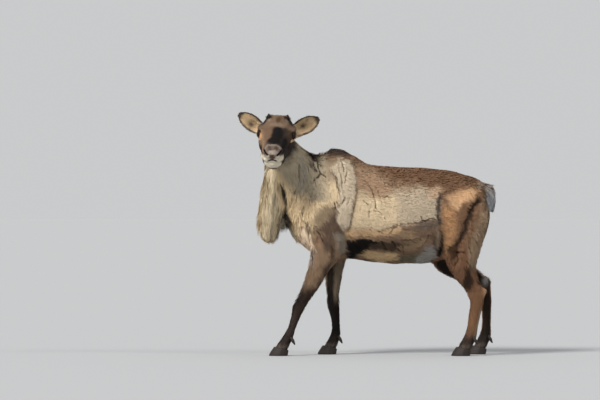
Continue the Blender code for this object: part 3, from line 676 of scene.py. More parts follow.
NECK_MARKS = (
    ("patch", "neck_lit", 9.0, [(255, 168), (276, 168), (288, 184), (302, 190), (312, 198), (318, 226),
      (255, 232)]),
    # a grey streak down the neck: partly its grey hair, partly painted shadow of the head
    ("line", "neck_grey", 4.0, 10.0, [(300, 158), (304, 176), (298, 190)]),
    ("patch", "shoulder", 10.0, [(300, 198), (340, 188), (340, 240), (300, 240)]),
    ("patch", "hump", 4.0, [(304, 144), (345, 138), (345, 157), (322, 157), (312, 161), (307, 156)]),
    ("line", "nape", 2.0, 3.0, [(309, 162), (315, 168), (321, 178)]),
    # painted shade in the groove between mane and neck
    ("line", "mane_groove", 5.0, 4.0, [(280, 184), (283, 194), (284.5, 204), (286, 219)]),
    # painted shade along the chest's underside
    ("line", "chest_dark", 3.5, 2.5, [(281, 230), (293, 243), (309, 258)]),
)
MANE_MARKS = (
    ("patch", "mane_shade", 5.0, [(278, 206), (284, 186), (292, 200), (294, 232), (284, 240),
      (275, 240)]),
    # painted shade in the groove between mane and neck
    ("line", "mane_groove", 5.0, 4.0, [(280, 184), (283, 194), (284.5, 204), (286, 220)]),
    ("line", "mane_shade", 1.0, 3.0, [(273, 196), (272, 214), (270, 236)]),
)
FORELEG_MARKS = (
    ("patch", "fore_upper", 6.0, [(318, 246), (345, 242), (345, 290), (290, 290), (305, 260)]),
    ("patch", "shoulder_dark", 5.0, [(320, 234), (332, 236), (334, 246), (324, 250)]),
    ("patch", "arm_grey", 5.0, [(334, 234), (343, 232), (346, 250), (337, 253)]),
    ("patch", "breast", 4.0, [(297, 226), (306, 228), (313, 238), (316, 250), (307, 254), (298, 241)]),
    ("patch", "fore_light", 5.0, [(309, 250), (317, 250), (314, 266), (304, 268)]),
    ("line", "fore_dark", 3.0, 5.0, [(331, 247), (329, 260), (322, 278), (312, 298)]),
    ("line", "fore_dark", 1.5, 4.0, [(306, 266), (301, 282), (295, 300)]),
)
HINDLEG_MARKS = (
    ("patch", "thigh", 6.0, [(430, 236), (500, 236), (500, 300), (440, 300)]),
    ("patch", "thigh_warm", 7.0, [(443, 206), (453, 210), (455, 226), (451, 244), (446, 250),
      (443, 236)]),
    ("patch", "thigh_rear", 7.0, [(484, 195), (492, 215), (488, 240), (479, 270), (469, 268), (467, 245),
      (476, 222)]),
    # painted shade in the groove between the thigh's muscles
    ("line", "groove", 1.2, 3.0, [(480.5, 188), (483.5, 194), (484, 202), (482, 210)]),
    ("patch", "groove", 3.5, [(479, 199), (481, 203), (474, 206), (472, 213), (470, 222), (465.5, 232),
      (462, 240), (453, 247), (448, 250), (451, 244), (457, 238), (460.5, 231), (463.5, 222), (467, 211),
      (471, 203), (476, 199.5)]),
    ("line", "thigh_shade", 2.0, 3.0, [(488, 208), (487, 222), (484, 236), (481, 246)]),
    # painted highlight on the top of the thigh's bulge
    ("patch", "thigh_tan", 7.0, [(447, 198), (458, 192), (472, 188), (479, 190), (477, 196), (464, 202),
      (457, 209), (449, 207)]),
    ("patch", "thigh_dark", 5.0, [(450, 247), (457, 248), (457, 258), (450, 260)]),
    # painted shade in a groove low on the thigh
    ("patch", "groove", 4.0, [(464, 267), (470, 266), (473, 290), (463, 292)]),
)
# By height, the way along the body from a right leg to its left one, in metres
LEG_SHIFTS = {
    "fore": ((0.016, 0.062, 0.118, 0.171, 0.240, 0.351, 0.490, 0.68),
             (-0.230, -0.229, -0.215, -0.193, -0.163, -0.097, -0.045, -0.02)),
    "hind": ((0.016, 0.062, 0.127, 0.190, 0.272, 0.350, 0.465, 0.66),
             (-0.083, -0.082, -0.076, -0.067, -0.055, -0.040, 0.060, 0.041)),
}


def tint(colour, tone, weight):
    """Brings colours towards one of the coat's tones."""
    colour += (TONE[tone] - colour) * weight[:, None]


def paint(colour, mine, u, v, marks):
    """Lays markings over the colours of some places."""
    some = colour[mine]
    for kind, tone, *sizes, points in marks:
        weigh = patch_weight if kind == "patch" else line_weight
        tint(some, tone, weigh(u[mine], v[mine], points, *sizes))
    colour[mine] = some


# Thin partings in the felted coat, painted dark with shade on the skin below, as lines on the side drawing
# with their width
CRACKS = (
    (1.0, ((310, 157), (313, 160.5), (317, 161), (318, 168), (320.5, 173), (325.5, 177))),
    (0.7, ((318, 164), (321, 166), (322.5, 169))),
    (0.7, ((320.5, 174), (317, 178), (313.5, 181))),
    (0.5, ((312, 163), (314, 171))),
    (0.5, ((299, 164), (298, 176))),
    (0.6, ((296, 187), (294, 193), (291, 202))),
    (0.5, ((306, 206), (303, 214), (304.5, 220), (309, 224), (318, 226.5))),
    (0.5, ((302, 215), (297, 222))),
    (0.6, ((299, 226.5), (305, 226))),
    (0.6, ((317, 231), (320, 234), (323, 241))),
    (1.0, ((341, 161), (343, 167), (344, 172))),
    (0.6, ((334, 173), (337, 178), (338, 187), (341, 192))),
    (0.5, ((338, 168), (341, 176), (342, 188))),
    (0.5, ((347, 168), (346, 175), (344, 183))),
    (0.8, ((334.5, 202), (336, 208), (340, 213))),
    (0.6, ((337, 200), (340, 207))),
    (0.4, ((345, 197), (342, 204))),
    (0.4, ((349, 198), (347, 205))),
    (0.8, ((366, 184), (369, 187), (371, 190), (373, 194), (375, 200), (375, 208))),
    (0.5, ((376, 188), (378, 192), (380, 198), (381.5, 203))),
    (0.7, ((363, 201), (369, 206), (372, 209.5), (375, 212))),
    (0.5, ((376, 209), (380, 213), (385, 219))),
    (0.4, ((369, 211), (368.5, 217))),
    (0.5, ((380, 178), (384, 183), (387, 189))),
    (0.6, ((383.5, 198), (387, 196.5), (390, 198.5))),
    (0.5, ((402, 185), (405, 190), (409, 195), (412, 198))),
    (0.4, ((424, 190), (427, 199))),
    (0.8, ((420, 216), (422, 220.5), (425, 221), (429, 218.5), (432, 218))),
    (0.6, ((390, 233), (392, 229.5), (396, 227))),
    (0.6, ((381, 240), (384, 246), (388, 251))),
    (0.6, ((391, 240), (395, 246), (399, 250))),
    (0.5, ((400, 239), (410, 239.5), (421, 236))),
    (0.7, ((428, 234), (426, 240), (422, 245))),
    (0.5, ((402, 245), (404, 254))),
    (0.6, ((456, 252), (461, 251), (465, 253))),
    (0.5, ((468, 246), (470.5, 253))),
    (0.5, ((455, 263), (459, 258))),
    (0.5, ((466, 260), (470, 267))),
)


def cracks(points):
    """1 in the partings of the coat, which are painted dark as shade, 0 between them."""
    u, v = drawing(points)
    u = u + 0.5 * cloud(points, 0.012, 71)
    v = v + 0.5 * cloud(points, 0.012, 72)
    found = np.zeros(len(points))
    for width, line in CRACKS:
        low, high = np.min(line, axis=0) - 2.0, np.max(line, axis=0) + 2.0
        near = (u > low[0]) & (u < high[0]) & (v > low[1]) & (v < high[1])
        found[near] = np.maximum(found[near], line_weight(u[near], v[near], line, 1.4 * width, 1.0))
    return found


def spot_weight(u, v, middle):
    """1 in the middle of a soft upright oval on the side drawing, falling to 0 round it."""
    return np.exp(-((u - middle[0]) / 3.0) ** 2 - ((v - middle[1]) / 5.0) ** 2)


def leg_colour(name, spots, turned, u, v):
    """A leg's coat: its markings high up, darker downwards, painted shade on its inner side, paler where it
    meets the hoof.
    """
    fore = "fore" in name
    right = "right" in name
    shift = np.interp(spots[:, 2], *LEG_SHIFTS["fore" if fore else "hind"]) / UNIT if right else 0.0
    here_u = u + shift
    shade = np.tile(TONE["fore_upper" if fore else "thigh"], (len(spots), 1))
    paint(shade, slice(None), here_u, v, FORELEG_MARKS if fore else HINDLEG_MARKS)
    z = spots[:, 2] + 0.006 * cloud(spots, 0.02, 8)
    backwards = turned[:, 0]
    if fore:
        tint(shade, "fore_dark", between(0.36, 0.29, z))
        tint(shade, "knee", between(0.055, 0.0, np.abs(z - 0.245)) * between(0.3, -0.3, backwards))
        tint(shade, "fore_cannon", between(0.22, 0.17, z))
    else:
        tint(shade, "hind_cannon", between(0.34, 0.28, z))
        tint(shade, "hock", spot_weight(here_u, v, (484, 290)))
        rear = between(0.35, 0.8, backwards) * between(0.06, 0.10, z) * between(0.25, 0.20, z)
        tint(shade, "inner_cream", 0.85 * rear)
        tint(shade, "foot", 0.55 * between(0.16, 0.08, z))
    # Painted shade on each leg's inner side, facing the other legs
    inward = turned[:, 1] * (-1.0 if right else 1.0)
    inner = between(0.15, 0.75, inward) * between(0.52, 0.44, z)
    tint(shade, "leg_inner_shade", 0.93 * inner)
    if right and not fore:
        tint(shade, "hock_pale", 0.9 * spot_weight(u, v, (486.5, 281)))
    if fore:
        strip = inner * between(0.2, 0.7, backwards + 0.4) * between(0.22, 0.30, z)
        tint(shade, "inner_cream", 0.6 * strip)
    tint(shade, "foot", 0.85 * between(0.105, 0.075, z))
    tint(shade, "coronet", 0.5 * between(0.018, 0.0, np.abs(z - 0.048)))
    return shade


def body_colour(points, facing, labels):
    """The coat's colour at places on the body."""
    u, v = drawing(points)
    u = u + 1.5 * cloud(points, 0.030, 3) + 1.1 * cloud(points, 0.011, 5)
    v = v + 1.5 * cloud(points, 0.030, 4) + 1.1 * cloud(points, 0.011, 6)
    names = np.array(BODY_NODES)[labels]
    neck, mane, tail = (names == node for node in ("neck", "throat_mane", "tail"))
    leg = np.char.startswith(names, "leg")
    trunk = ~(neck | mane | tail | leg)
    colour = np.tile(TONE["upper_flank"], (len(points), 1))
    colour[neck] = TONE["neck"]
    colour[mane] = TONE["mane"]
    colour[tail] = TONE["tail"]
    blotch = between(0.0, 0.6, cloud(points, 0.040, 9) + 0.4 * cloud(points, 0.015, 10)) * trunk
    tint(colour, "flank_blotch", 0.75 * blotch)
    paint(colour, trunk, u, v, BODY_MARKS)
    tint(colour, "neck", between(345, 315, u) * trunk * (v < 200) * between(155, 163, v))
    paint(colour, trunk & (u < 350) & (v > 228), u, v, FORELEG_MARKS)
    paint(colour, trunk & (u > 440), u, v, HINDLEG_MARKS[1:])
    paint(colour, neck, u, v, NECK_MARKS)
    paint(colour, mane, u, v, MANE_MARKS)
    tint(colour, "tail_top", tail * between(0.2, 0.7, facing[:, 2]) * 0.6)
    for name in LEG_NAMES:
        mine = np.char.startswith(names, name)
        if mine.any():
            colour[mine] = leg_colour(name, points[mine], facing[mine], u[mine], v[mine])
    # Short streaks on legs and rump, where the hair is coarser, and flecks all over
    streak = cloud(points * np.array((1.0, 1.0, 0.22)), 0.010, 23) * (0.13 * (leg | (trunk & (u > 440))))
    fleck = 1.0 + 0.08 * cloud(points, 0.022, 21) + 0.05 * cloud(points, 0.007, 22) + streak
    return colour * fleck[:, None]


# Markings of the head, each laid over those before it: tone, middle along, up and left of the head's
# axes, radii, softness. All but the one-sided tones are alike on both sides. The face is painted lighter on
# the head's right side as painted light, and darker on its left as painted shade
HEAD_MARKS = (
    # painted shade: the side of the face below the eye, which stays this dark on the head's left
    ("shaded_side_brown", (0.062, 0.012, 0.064), (0.056, 0.024, 0.026), 0.9),
    # painted light on the head's right side, with highlights in front of the eye and above it
    ("lit_side_tone", (0.125, -0.014, -0.062), (0.130, 0.052, 0.036), 0.8),
    ("lit_side_brown", (0.100, 0.034, -0.034), (0.100, 0.030, 0.026), 0.9),
    ("lit_side_highlight", (0.064, 0.002, -0.076), (0.036, 0.014, 0.014), 0.9),
    ("lit_side_highlight", (0.026, 0.026, -0.078), (0.018, 0.008, 0.012), 0.9),
    # the dark cheeks and jaw, deepened as painted shade
    ("cheek_dark_and_shade", (0.010, -0.075, 0.060), (0.075, 0.045, 0.050), 0.6),
    ("crown", (-0.050, 0.055, 0.0), (0.090, 0.060, 0.100), 0.5),
    # painted highlights on the crown's hair, in the middle and to each side
    ("crown_highlight", (0.020, 0.050, 0.004), (0.018, 0.016, 0.036), 1.0),
    ("crown_side_highlight", (-0.045, 0.050, -0.040), (0.022, 0.016, 0.012), 1.0),
    ("crown_side_highlight", (-0.050, 0.050, 0.046), (0.022, 0.016, 0.012), 1.0),
    ("crown_dark", (-0.030, 0.060, 0.004), (0.034, 0.020, 0.012), 1.0),
    ("brow", (0.012, 0.034, 0.066), (0.024, 0.016, 0.022), 1.0),
    ("chin", (-0.050, 0.038, 0.070), (0.036, 0.028, 0.022), 0.8),
    ("chin", (-0.060, 0.005, 0.088), (0.026, 0.034, 0.018), 0.7),
    ("bridge", (0.080, 0.046, 0.012), (0.034, 0.026, 0.024), 0.8),
    ("bridge", (0.128, 0.040, 0.012), (0.060, 0.030, 0.027), 0.7),
    ("bridge", (0.178, 0.034, 0.002), (0.032, 0.022, 0.036), 0.7),
    # painted shade: the face's dark carried over the left side of the muzzle
    ("bridge", (0.165, 0.004, 0.054), (0.070, 0.034, 0.022), 0.7),
    ("ring", (0.040, -0.016, 0.084), (0.028, 0.009, 0.018), 0.7),
    ("ring", (0.012, -0.022, 0.092), (0.020, 0.009, 0.016), 0.7),
    ("brow", (0.018, 0.024, 0.088), (0.026, 0.008, 0.018), 0.8),
    ("nose_rim", (0.222, 0.002, 0.0), (0.036, 0.026, 0.041), 0.25),
    ("lip", (0.206, -0.040, 0.0), (0.048, 0.026, 0.054), 0.35),
    ("nose", (0.226, 0.007, 0.0), (0.034, 0.017, 0.034), 0.5),
    ("nose_spot", (0.226, 0.012, 0.014), (0.030, 0.009, 0.010), 0.9),
    ("nose_pale", (0.234, -0.006, 0.0), (0.030, 0.010, 0.020), 0.9),
    ("philtrum", (0.230, -0.027, 0.0), (0.030, 0.013, 0.017), 0.7),
    ("philtrum", (0.222, -0.043, 0.0), (0.030, 0.012, 0.010), 0.9),
    ("lip", (0.204, -0.072, 0.0), (0.042, 0.024, 0.045), 0.4),
    ("chin", (0.160, -0.108, 0.0), (0.075, 0.019, 0.055), 0.5),
)
ONE_SIDED = ("bridge", "lit_side_tone", "lit_side_brown", "lit_side_highlight", "crown_highlight", "crown_side_highlight", "crown_dark")


def head_colour(points):
    """The colour of the short coat on the head, its nose, lips, nostrils and eye rims, with painted shade in
    nostrils, mouth line and on the head's left side, and painted light on its right.
    """
    along, up, left, side, nostril, mouth, eye = head_fields(points)
    warp = [0.004 * cloud(points, 0.018, n) + 0.002 * cloud(points, 0.007, n + 6) for n in (41, 42, 43)]
    both_sides = np.column_stack([along, up, side]) + np.column_stack(warp)
    one_side = np.column_stack([both_sides[:, :2], left])
    # The head starts in its cheeks' dark tone, deepened as painted shade
    colour = np.tile(TONE["cheek_dark_and_shade"], (len(points), 1))
    for name, middle, radii, soft in HEAD_MARKS:
        place = one_side if name in ONE_SIDED else both_sides
        reach = np.linalg.norm((place - np.array(middle)) / np.array(radii), axis=1)
        tint(colour, name, between(1.0 + soft / 2, 1.0 - soft / 2, reach))
    tint(colour, "nose_dark", 0.35 * between(0.0085, 0.0055, nostril))
    # painted shade in the nostrils' slits and along the mouth's line
    tint(colour, "slit_shade", between(0.0048, 0.0030, nostril))
    mouth_line_shade = between(0.0050, 0.0020, mouth) * between(MOUTH_BACK, MOUTH_BACK + 0.02, along)
    tint(colour, "slit_shade", mouth_line_shade * np.where(along > 0.175, between(0.027, 0.016, side), 0.35))
    tint(colour, "chin", 0.8 * between(0.0230, 0.0200, eye))
    tint(colour, "lid", between(0.0205, 0.0188, eye))
    tint(colour, "neck", between(0.030, -0.010, past_neck(points) + 0.010 * cloud(points, 0.02, 46)))
    fleck = 1.0 + 0.10 * cloud(points, 0.010, 44) + 0.07 * cloud(points, 0.004, 45)
    return colour * fleck[:, None]


# Tufts

# A tuft's random length and height as shares of the coat's, the least share of it that a parting
# leaves, how clearly a parting has to be drawn to stop it, and in metres how far its tip is pulled into
# its lock and how deep its root is set
GROWN = (0.62, 1.12)
LEAST_AT_PARTING = 0.15
PARTING_EDGE = 0.42
LOCK_PULL = 0.015
ROOT_DEPTH = 0.0015
# Width of a tuft from root to tip, and its tone there, darkened towards the root as painted shade
TAPER = ((0, 0.35, 0.8, 1.0), (0.75, 1.0, 0.55, 0.0))
ROOT_SHADE_ALONG_TUFT = ((0, 0.5, 1.0), (0.94, 1.0, 1.02))
# Half the size of a tuft's patch on the coat's map, and how much its own face counts in the way it takes
# the light, the rest being the coat's as a whole
PATCH_HALF = 0.0015
OWN_FACE = 0.09


def scatter(skin, weight, count):
    """Places on the skin, as vertex triples and shares of them, denser where weight is larger."""
    skin.mesh.calc_loop_triangles()
    triangles = np.empty(len(skin.mesh.loop_triangles) * 3, np.int32)
    skin.mesh.loop_triangles.foreach_get("vertices", triangles)
    triangles = triangles.reshape(-1, 3)
    a, b, c = (skin.points[triangles[:, k]] for k in range(3))
    area = np.linalg.norm(np.cross(b - a, c - a), axis=1) / 2 * weight[triangles].mean(axis=1)
    chosen = np.searchsorted(np.cumsum(area) / area.sum(), rng.random(count))
    chosen = np.minimum(chosen, len(triangles) - 1)
    first, second = rng.random(count), rng.random(count)
    flip = first + second > 1
    first[flip], second[flip] = 1 - first[flip], 1 - second[flip]
    return triangles[chosen], np.column_stack([1 - first - second, first, second])


def spread(values, corners, shares):
    """Values of the skin's vertices at places given as vertex triples and shares of them."""
    picked = values[corners]
    if picked.ndim == 2:
        return np.sum(picked * shares, axis=1)
    return np.sum(picked * shares[:, :, None], axis=1)


def pull_to_locks(root, tip, lock, share_of_keepers):
    """How far each tip moves towards that of its nearest keeper, a tuft that a lock gathers round."""
    count = len(root)
    kept = max(1, int(count * share_of_keepers))
    tree = KDTree(kept)
    keepers = rng.choice(count, kept, replace=False)
    for number, keeper in enumerate(keepers):
        tree.insert(root[keeper], number)
    tree.balance()
    nearest = np.array([tree.find(place)[1] for place in root.tolist()])
    pull = (tip[keepers[nearest]] - tip) * (lock * rng.uniform(0.4, 1.0, count))[:, None]
    reach = np.linalg.norm(pull, axis=1)
    return pull * np.minimum(1.0, LOCK_PULL / np.maximum(reach, 1e-6))[:, None]


def room_before_parting(root, end, parting):
    """How much of each tuft fits before it would lie across a parting of the coat."""
    looks = np.linspace(0.0, 1.0, 8)
    path = np.stack([root + end * look for look in looks], axis=1).reshape(-1, 3)
    met = parting(path).reshape(len(root), len(looks)) > PARTING_EDGE
    room = np.where(met.any(axis=1), looks[met.argmax(axis=1)], 1.0)
    return np.maximum(room, LEAST_AT_PARTING)


def blade_mesh(name, spine, blade, width, taper):
    """Flat tapering blades along spines as one mesh: pairs of vertices up to a single one at each tip."""
    count, segments = len(spine), spine.shape[1] - 1
    rows = []
    for k in range(segments):
        half = blade * (width * taper[k] / 2)[:, None]
        rows += [spine[:, k] - half, spine[:, k] + half]
    rows.append(spine[:, segments])
    vertices = np.stack(rows, axis=1).reshape(-1, 3)
    base = (np.arange(count) * len(rows))[:, None]
    quads = np.concatenate([base + (2 * k + np.array([0, 1, 3, 2])) for k in range(segments - 1)])
    tips = base + (2 * segments - np.array([2, 1, 0]))
    loops = np.concatenate([quads.ravel(), tips.ravel()]).astype(np.int32)
    starts = np.concatenate([4 * np.arange(len(quads)), quads.size + 3 * np.arange(count)]).astype(np.int32)
    mesh = bpy.data.meshes.new(name)
    mesh.vertices.add(len(vertices))
    mesh.vertices.foreach_set("co", vertices.astype(np.float32).ravel())
    mesh.loops.add(len(loops))
    mesh.loops.foreach_set("vertex_index", loops)
    mesh.polygons.add(len(starts))
    mesh.polygons.foreach_set("loop_start", starts)
    mesh.update(calc_edges=True)
    return mesh, loops


def tuft_mesh(name, skin, weight, count, segments, colour_of, unwrap, locks, wild, parting, rise):
    """One piece of the coat: thin tapering tufts that leave the skin and bend down along it."""
    corners, shares = scatter(skin, weight, count)
    grows = (skin.points, skin.ends, skin.depth, skin.width, skin.lock)
    root, end, depth, width, lock = (spread(values, corners, shares) for values in grows)
    facing = unit(spread(skin.facing, corners, shares))
    end_facing = unit(spread(skin.end_facing, corners, shares))
    grown = rng.uniform(*GROWN, count)
    height = depth * rng.uniform(rise, GROWN[1], count)
    across = unit(np.cross(end, facing))
    end = end * grown[:, None] + across * (rng.normal(0, wild, count) * np.linalg.norm(end, axis=1))[:, None]
    room = room_before_parting(root, end, parting) if parting else np.ones(count)
    end = end * room[:, None]
    height = height * (0.35 + 0.65 * room)
    pull = pull_to_locks(root, root + end + end_facing * height[:, None], lock, locks)

    steps = np.linspace(0.0, 1.0, segments + 1)
    spine = []
    for s in steps:
        lift = height * (1 - (1 - s) ** 2) - ROOT_DEPTH * (1 - s)
        direction = unit(facing * (1 - s) + end_facing * s)
        spine.append(root + end * s + direction * lift[:, None] + pull * s ** 1.6)
    spine = np.stack(spine, axis=1)
    tangent = unit(spine[:, -1] - spine[:, 0])
    blade = unit(np.cross(tangent, facing))
    roll = rng.normal(0, 0.5, count)
    blade = blade * np.cos(roll)[:, None] + np.cross(tangent, blade) * np.sin(roll)[:, None]
    width = width * rng.uniform(0.7, 1.3, count)
    mesh, loops = blade_mesh(name, spine, blade, width, np.interp(steps, *TAPER))

    per = 2 * segments + 1
    row_steps = np.repeat(steps, 2)[:per]
    middle = root + end * rng.normal(0.45, 0.15, count)[:, None]
    tone = colour_of(middle, facing, corners) * rng.uniform(0.95, 1.05, count)[:, None]
    # Tufts that a parting keeps short lie in its shadow
    tone *= (1 - 0.6 * (room < LEAST_AT_PARTING + 0.01))[:, None]
    paint_skin(mesh, (tone[:, None, :] * np.interp(row_steps, *ROOT_SHADE_ALONG_TUFT)[None, :, None]).reshape(-1, 3))
    sideways = np.array([-1.0, 1.0] * segments + [0.0])
    offset = np.column_stack([sideways, row_steps * 2 - 1]) * PATCH_HALF
    maps = (unwrap(root, facing, corners)[:, None, :] + offset[None, :, :]).reshape(-1, 2)
    uv = mesh.uv_layers.new(name="OFBake")
    uv.data.foreach_set("uv", maps[loops].astype(np.float32).ravel())
    coat_way = np.repeat(unit(facing * 0.75 + end_facing * 0.25), per, axis=0)
    own_way = np.repeat(unit(np.cross(blade, tangent)), per, axis=0)
    own_way = own_way * np.sign(np.sum(own_way * coat_way, axis=1))[:, None]
    mesh.shade_smooth()
    mesh.normals_split_custom_set_from_vertices(unit(coat_way * (1 - OWN_FACE) + own_way * OWN_FACE).tolist())
    return new_object(name, mesh)


def fitted(first, second):
    """Two columns brought to the unit square with a small margin."""
    def fit(values):
        low, high = values.min(), values.max()
        return 0.01 + 0.98 * (values - low) / max(high - low, 1e-9)
    return np.column_stack([fit(first), fit(second)])


# Materials


def add(tree, kind, inputs=None, links=None, **settings):
    """A node with its settings, its input values and what feeds its inputs."""
    node = tree.nodes.new(kind)
    for key, value in settings.items():
        setattr(node, key, value)
    for key, value in (inputs or {}).items():
        node.inputs[key].default_value = value
    for key, source in (links or {}).items():
        tree.links.new(source, node.inputs[key])
    return node


def object_place(tree):
    """Where a spot lies in the object's own space, in metres."""
    return add(tree, "ShaderNodeTexCoord").outputs["Object"]


def material(name, roughness, specular):
    """A material with its roughness and how strongly it mirrors."""
    made = bpy.data.materials.new(name)
    made.use_nodes = True
    shader = made.node_tree.nodes["Principled BSDF"]
    shader.inputs["Roughness"].default_value = roughness
    shader.inputs["Specular IOR Level"].default_value = specular
    return made, made.node_tree, shader


def coat_hair():
    """Dry, hollow winter hair: matt, each tuft in its own tone."""
    made, tree, shader = material("reindeer_winter_hair", 0.78, 0.18)
    tone = add(tree, "ShaderNodeVertexColor", layer_name="Coat")
    tree.links.new(tone.outputs["Color"], shader.inputs["Base Color"])
    return made


def coat_skin():
    """Short close fur and underfur: the marking's tone with fine hair lines raised by bump."""
    made, tree, shader = material("reindeer_underfur", 0.85, 0.15)
    tone = add(tree, "ShaderNodeVertexColor", layer_name="Coat")
    grain = add(tree, "ShaderNodeTexNoise", {"Scale": 420.0, "Detail": 3.0}, {"Vector": object_place(tree)})
    bump = add(tree, "ShaderNodeBump", {"Strength": 0.5, "Distance": 0.0015},
               {"Height": grain.outputs["Fac"]})
    tree.links.new(tone.outputs["Color"], shader.inputs["Base Color"])
    tree.links.new(bump.outputs["Normal"], shader.inputs["Normal"])
    return made


def hoof_horn():
    """Hoof horn, worn and slightly waxy: dark, with growth rings 3 mm apart."""
    made, tree, shader = material("hoof_horn", 0.58, 0.30)
    rings = add(tree, "ShaderNodeTexWave", {"Scale": 50.0, "Distortion": 2.0, "Detail": 2.0},
                {"Vector": object_place(tree)}, bands_direction="Z")
    ramp = add(tree, "ShaderNodeValToRGB", None, {"Fac": rings.outputs["Fac"]})
    ramp.color_ramp.elements[0].color = (*linear("#1f1a17"), 1)
    ramp.color_ramp.elements[1].color = (*linear("#2f2823"), 1)
    bump = add(tree, "ShaderNodeBump", {"Strength": 0.18, "Distance": 0.001},
               {"Height": rings.outputs["Fac"]})
    tree.links.new(ramp.outputs["Color"], shader.inputs["Base Color"])
    tree.links.new(bump.outputs["Normal"], shader.inputs["Normal"])
    return made


def eye_gloss():
    """A wet cornea over a dark brown iris."""
    made, tree, shader = material("wet_eye", 0.05, 0.30)
    shader.inputs["IOR"].default_value = 1.376
    tone = add(tree, "ShaderNodeVertexColor", layer_name="Coat")
    tree.links.new(tone.outputs["Color"], shader.inputs["Base Color"])
    return made


# Ears

# The ear's base and direction in the head's axes, its length and half width, and the middle of the
# painted shade in each ear's hollow, by share of its length and of its half width
EAR_BASE = (-0.066, -0.024, 0.066)
EAR_DIRECTION = (-0.22, 0.46, 0.80)
EAR_LENGTH = 0.146
EAR_HALF_WIDTH = 0.043
EAR_HOLLOW_SHADE = {1.0: (0.42, 0.0), -1.0: (0.48, -0.30)}
EAR_SIDE = {"ear_left": 1.0, "ear_right": -1.0}


def ear_axes(side):
    """An ear's base, the way to its tip, the way it opens, and the way across it."""
    along = (head_forward * EAR_DIRECTION[0] + head_up * EAR_DIRECTION[1]
             + head_left * EAR_DIRECTION[2] * side).normalized()
    opening = head_forward + head_left * 0.25 * side - head_up * 0.10
    opening = (opening - along * opening.dot(along)).normalized()
    base = head_origin + head_forward * EAR_BASE[0] + head_up * EAR_BASE[1] + head_left * (EAR_BASE[2] * side)
    return tuple(np.array(item) for item in (base, along, opening, along.cross(opening)))


def ear_skin(name):
    """One ear's skin, with its root pushed into the head."""
    mesh = merged_shell(name, -0.0010)
    holder = new_object(name + "_skin", mesh)
    divide = holder.modifiers.new("divide", "SUBSURF")
    divide.levels = 2
    divide.render_levels = 2
    skin = Skin(evaluated(holder))
    base, along, opening, across = ear_axes(EAR_SIDE[name])
    reach = (skin.points - base) @ along / EAR_LENGTH
    set_positions(skin.mesh, skin.points - along * (0.020 * between(0.26, 0.04, reach))[:, None])
    skin.refresh()
    sideways = (skin.points - base) @ across / EAR_HALF_WIDTH
    inner = skin.facing @ opening
    skin.reach, skin.sideways, skin.inner = reach, sideways, inner
    inside = between(0.0, 0.6, inner)
    length = 0.009 + 0.013 * inside * between(0.9, 0.4, reach) - 0.004 * between(0.80, 0.95, reach)
    depth = 0.0028 + 0.003 * inside * between(0.8, 0.3, reach)
    comb = along + across * (np.sign(sideways) * 0.35 * between(0.3, 1.0, np.abs(sideways)))[:, None]
    ones = np.ones(len(reach))
    finish_fields(skin, np.column_stack([depth, length, 0.0013 * ones, 0.4 * ones, comb]))
    return skin


def ear_colour(side, points, facing):
    """An ear's coat: cream inside with painted shade in its hollow, dark veins, painted light at its root,
    dark at the edge and behind.
    """
    base, along, opening, across = ear_axes(side)
    reach = (points - base) @ along / EAR_LENGTH + 0.03 * cloud(points, 0.012, 51)
    from_middle = (points - base) @ across / EAR_HALF_WIDTH
    sideways = np.abs(from_middle) + 0.05 * cloud(points, 0.012, 52)
    inner = between(0.0, 0.5, facing @ opening)
    outline = np.where(reach < 0.5, 0.62 + 0.38 * np.sin(math.pi * np.clip(reach, 0, 1)),
                       np.maximum(0.1, 1.0 - (2 * np.clip(reach, 0, 1) - 1) ** 2) ** 0.60)
    edge = np.maximum(between(0.74, 0.93, sideways / outline), between(0.80, 0.92, reach))
    edge = edge * between(0.05, 0.28, reach)
    colour = np.tile(TONE["ear_brown"], (len(points), 1))
    tint(colour, "ear_cream", inner)
    hollow_reach, hollow_height = EAR_HOLLOW_SHADE[side]
    hollow_shade = np.exp(-((reach - hollow_reach) / 0.13) ** 2 - ((from_middle - hollow_height) / 0.36) ** 2)
    hollow_shade = hollow_shade * inner
    veins = between(0.20, 0.0, np.abs(cloud(points, 0.016, 54))) * between(0.75, 0.45, sideways / outline)
    veins = veins * between(0.22, 0.34, reach) * between(0.80, 0.60, reach)
    # painted light at the ear's root, where the head's hair shades it
    tint(colour, "ear_root_painted_light", inner * between(0.36, 0.20, reach))
    # painted shade in the ear's hollow, and its dark veins
    tint(colour, "ear_hollow_shade", np.maximum(0.95 * hollow_shade, 0.6 * inner * veins))
    tint(colour, "ear_dark", np.maximum(0.9 * edge, 0.55 * (1 - inner)))
    return colour * (1.0 + 0.10 * cloud(points, 0.006, 53))[:, None]


# Lids and eyes

LID_HALF_LENGTH = 0.0145
LID_HALF_HEIGHT = 0.0110
LID_POINTS = 44
# Rings of a lid from its margin outwards: how wide it is there, and how far it stands off the ball, or
# nothing where it lies on the face
LID_RINGS = ((0.94, -0.0002), (1.0, 0.0010), (1.08, 0.0018), (1.17, 0.0012), (1.28, None), (1.42, None))
# A hair's breadth between ball and lid, and between lid and face
LID_GAP = 0.0002
LID_ON_FACE = 0.0006


def eye_axes(side):
    """Which way one eye looks, its line along the face, and its up."""
    out = (head_left * side * 0.88 + head_forward * 0.42 + head_up * 0.10).normalized()
    flat = (head_forward - out * head_forward.dot(out)).normalized()
    high = out.cross(flat)
    return out, flat, high if high.dot(head_up) > 0.0 else -high


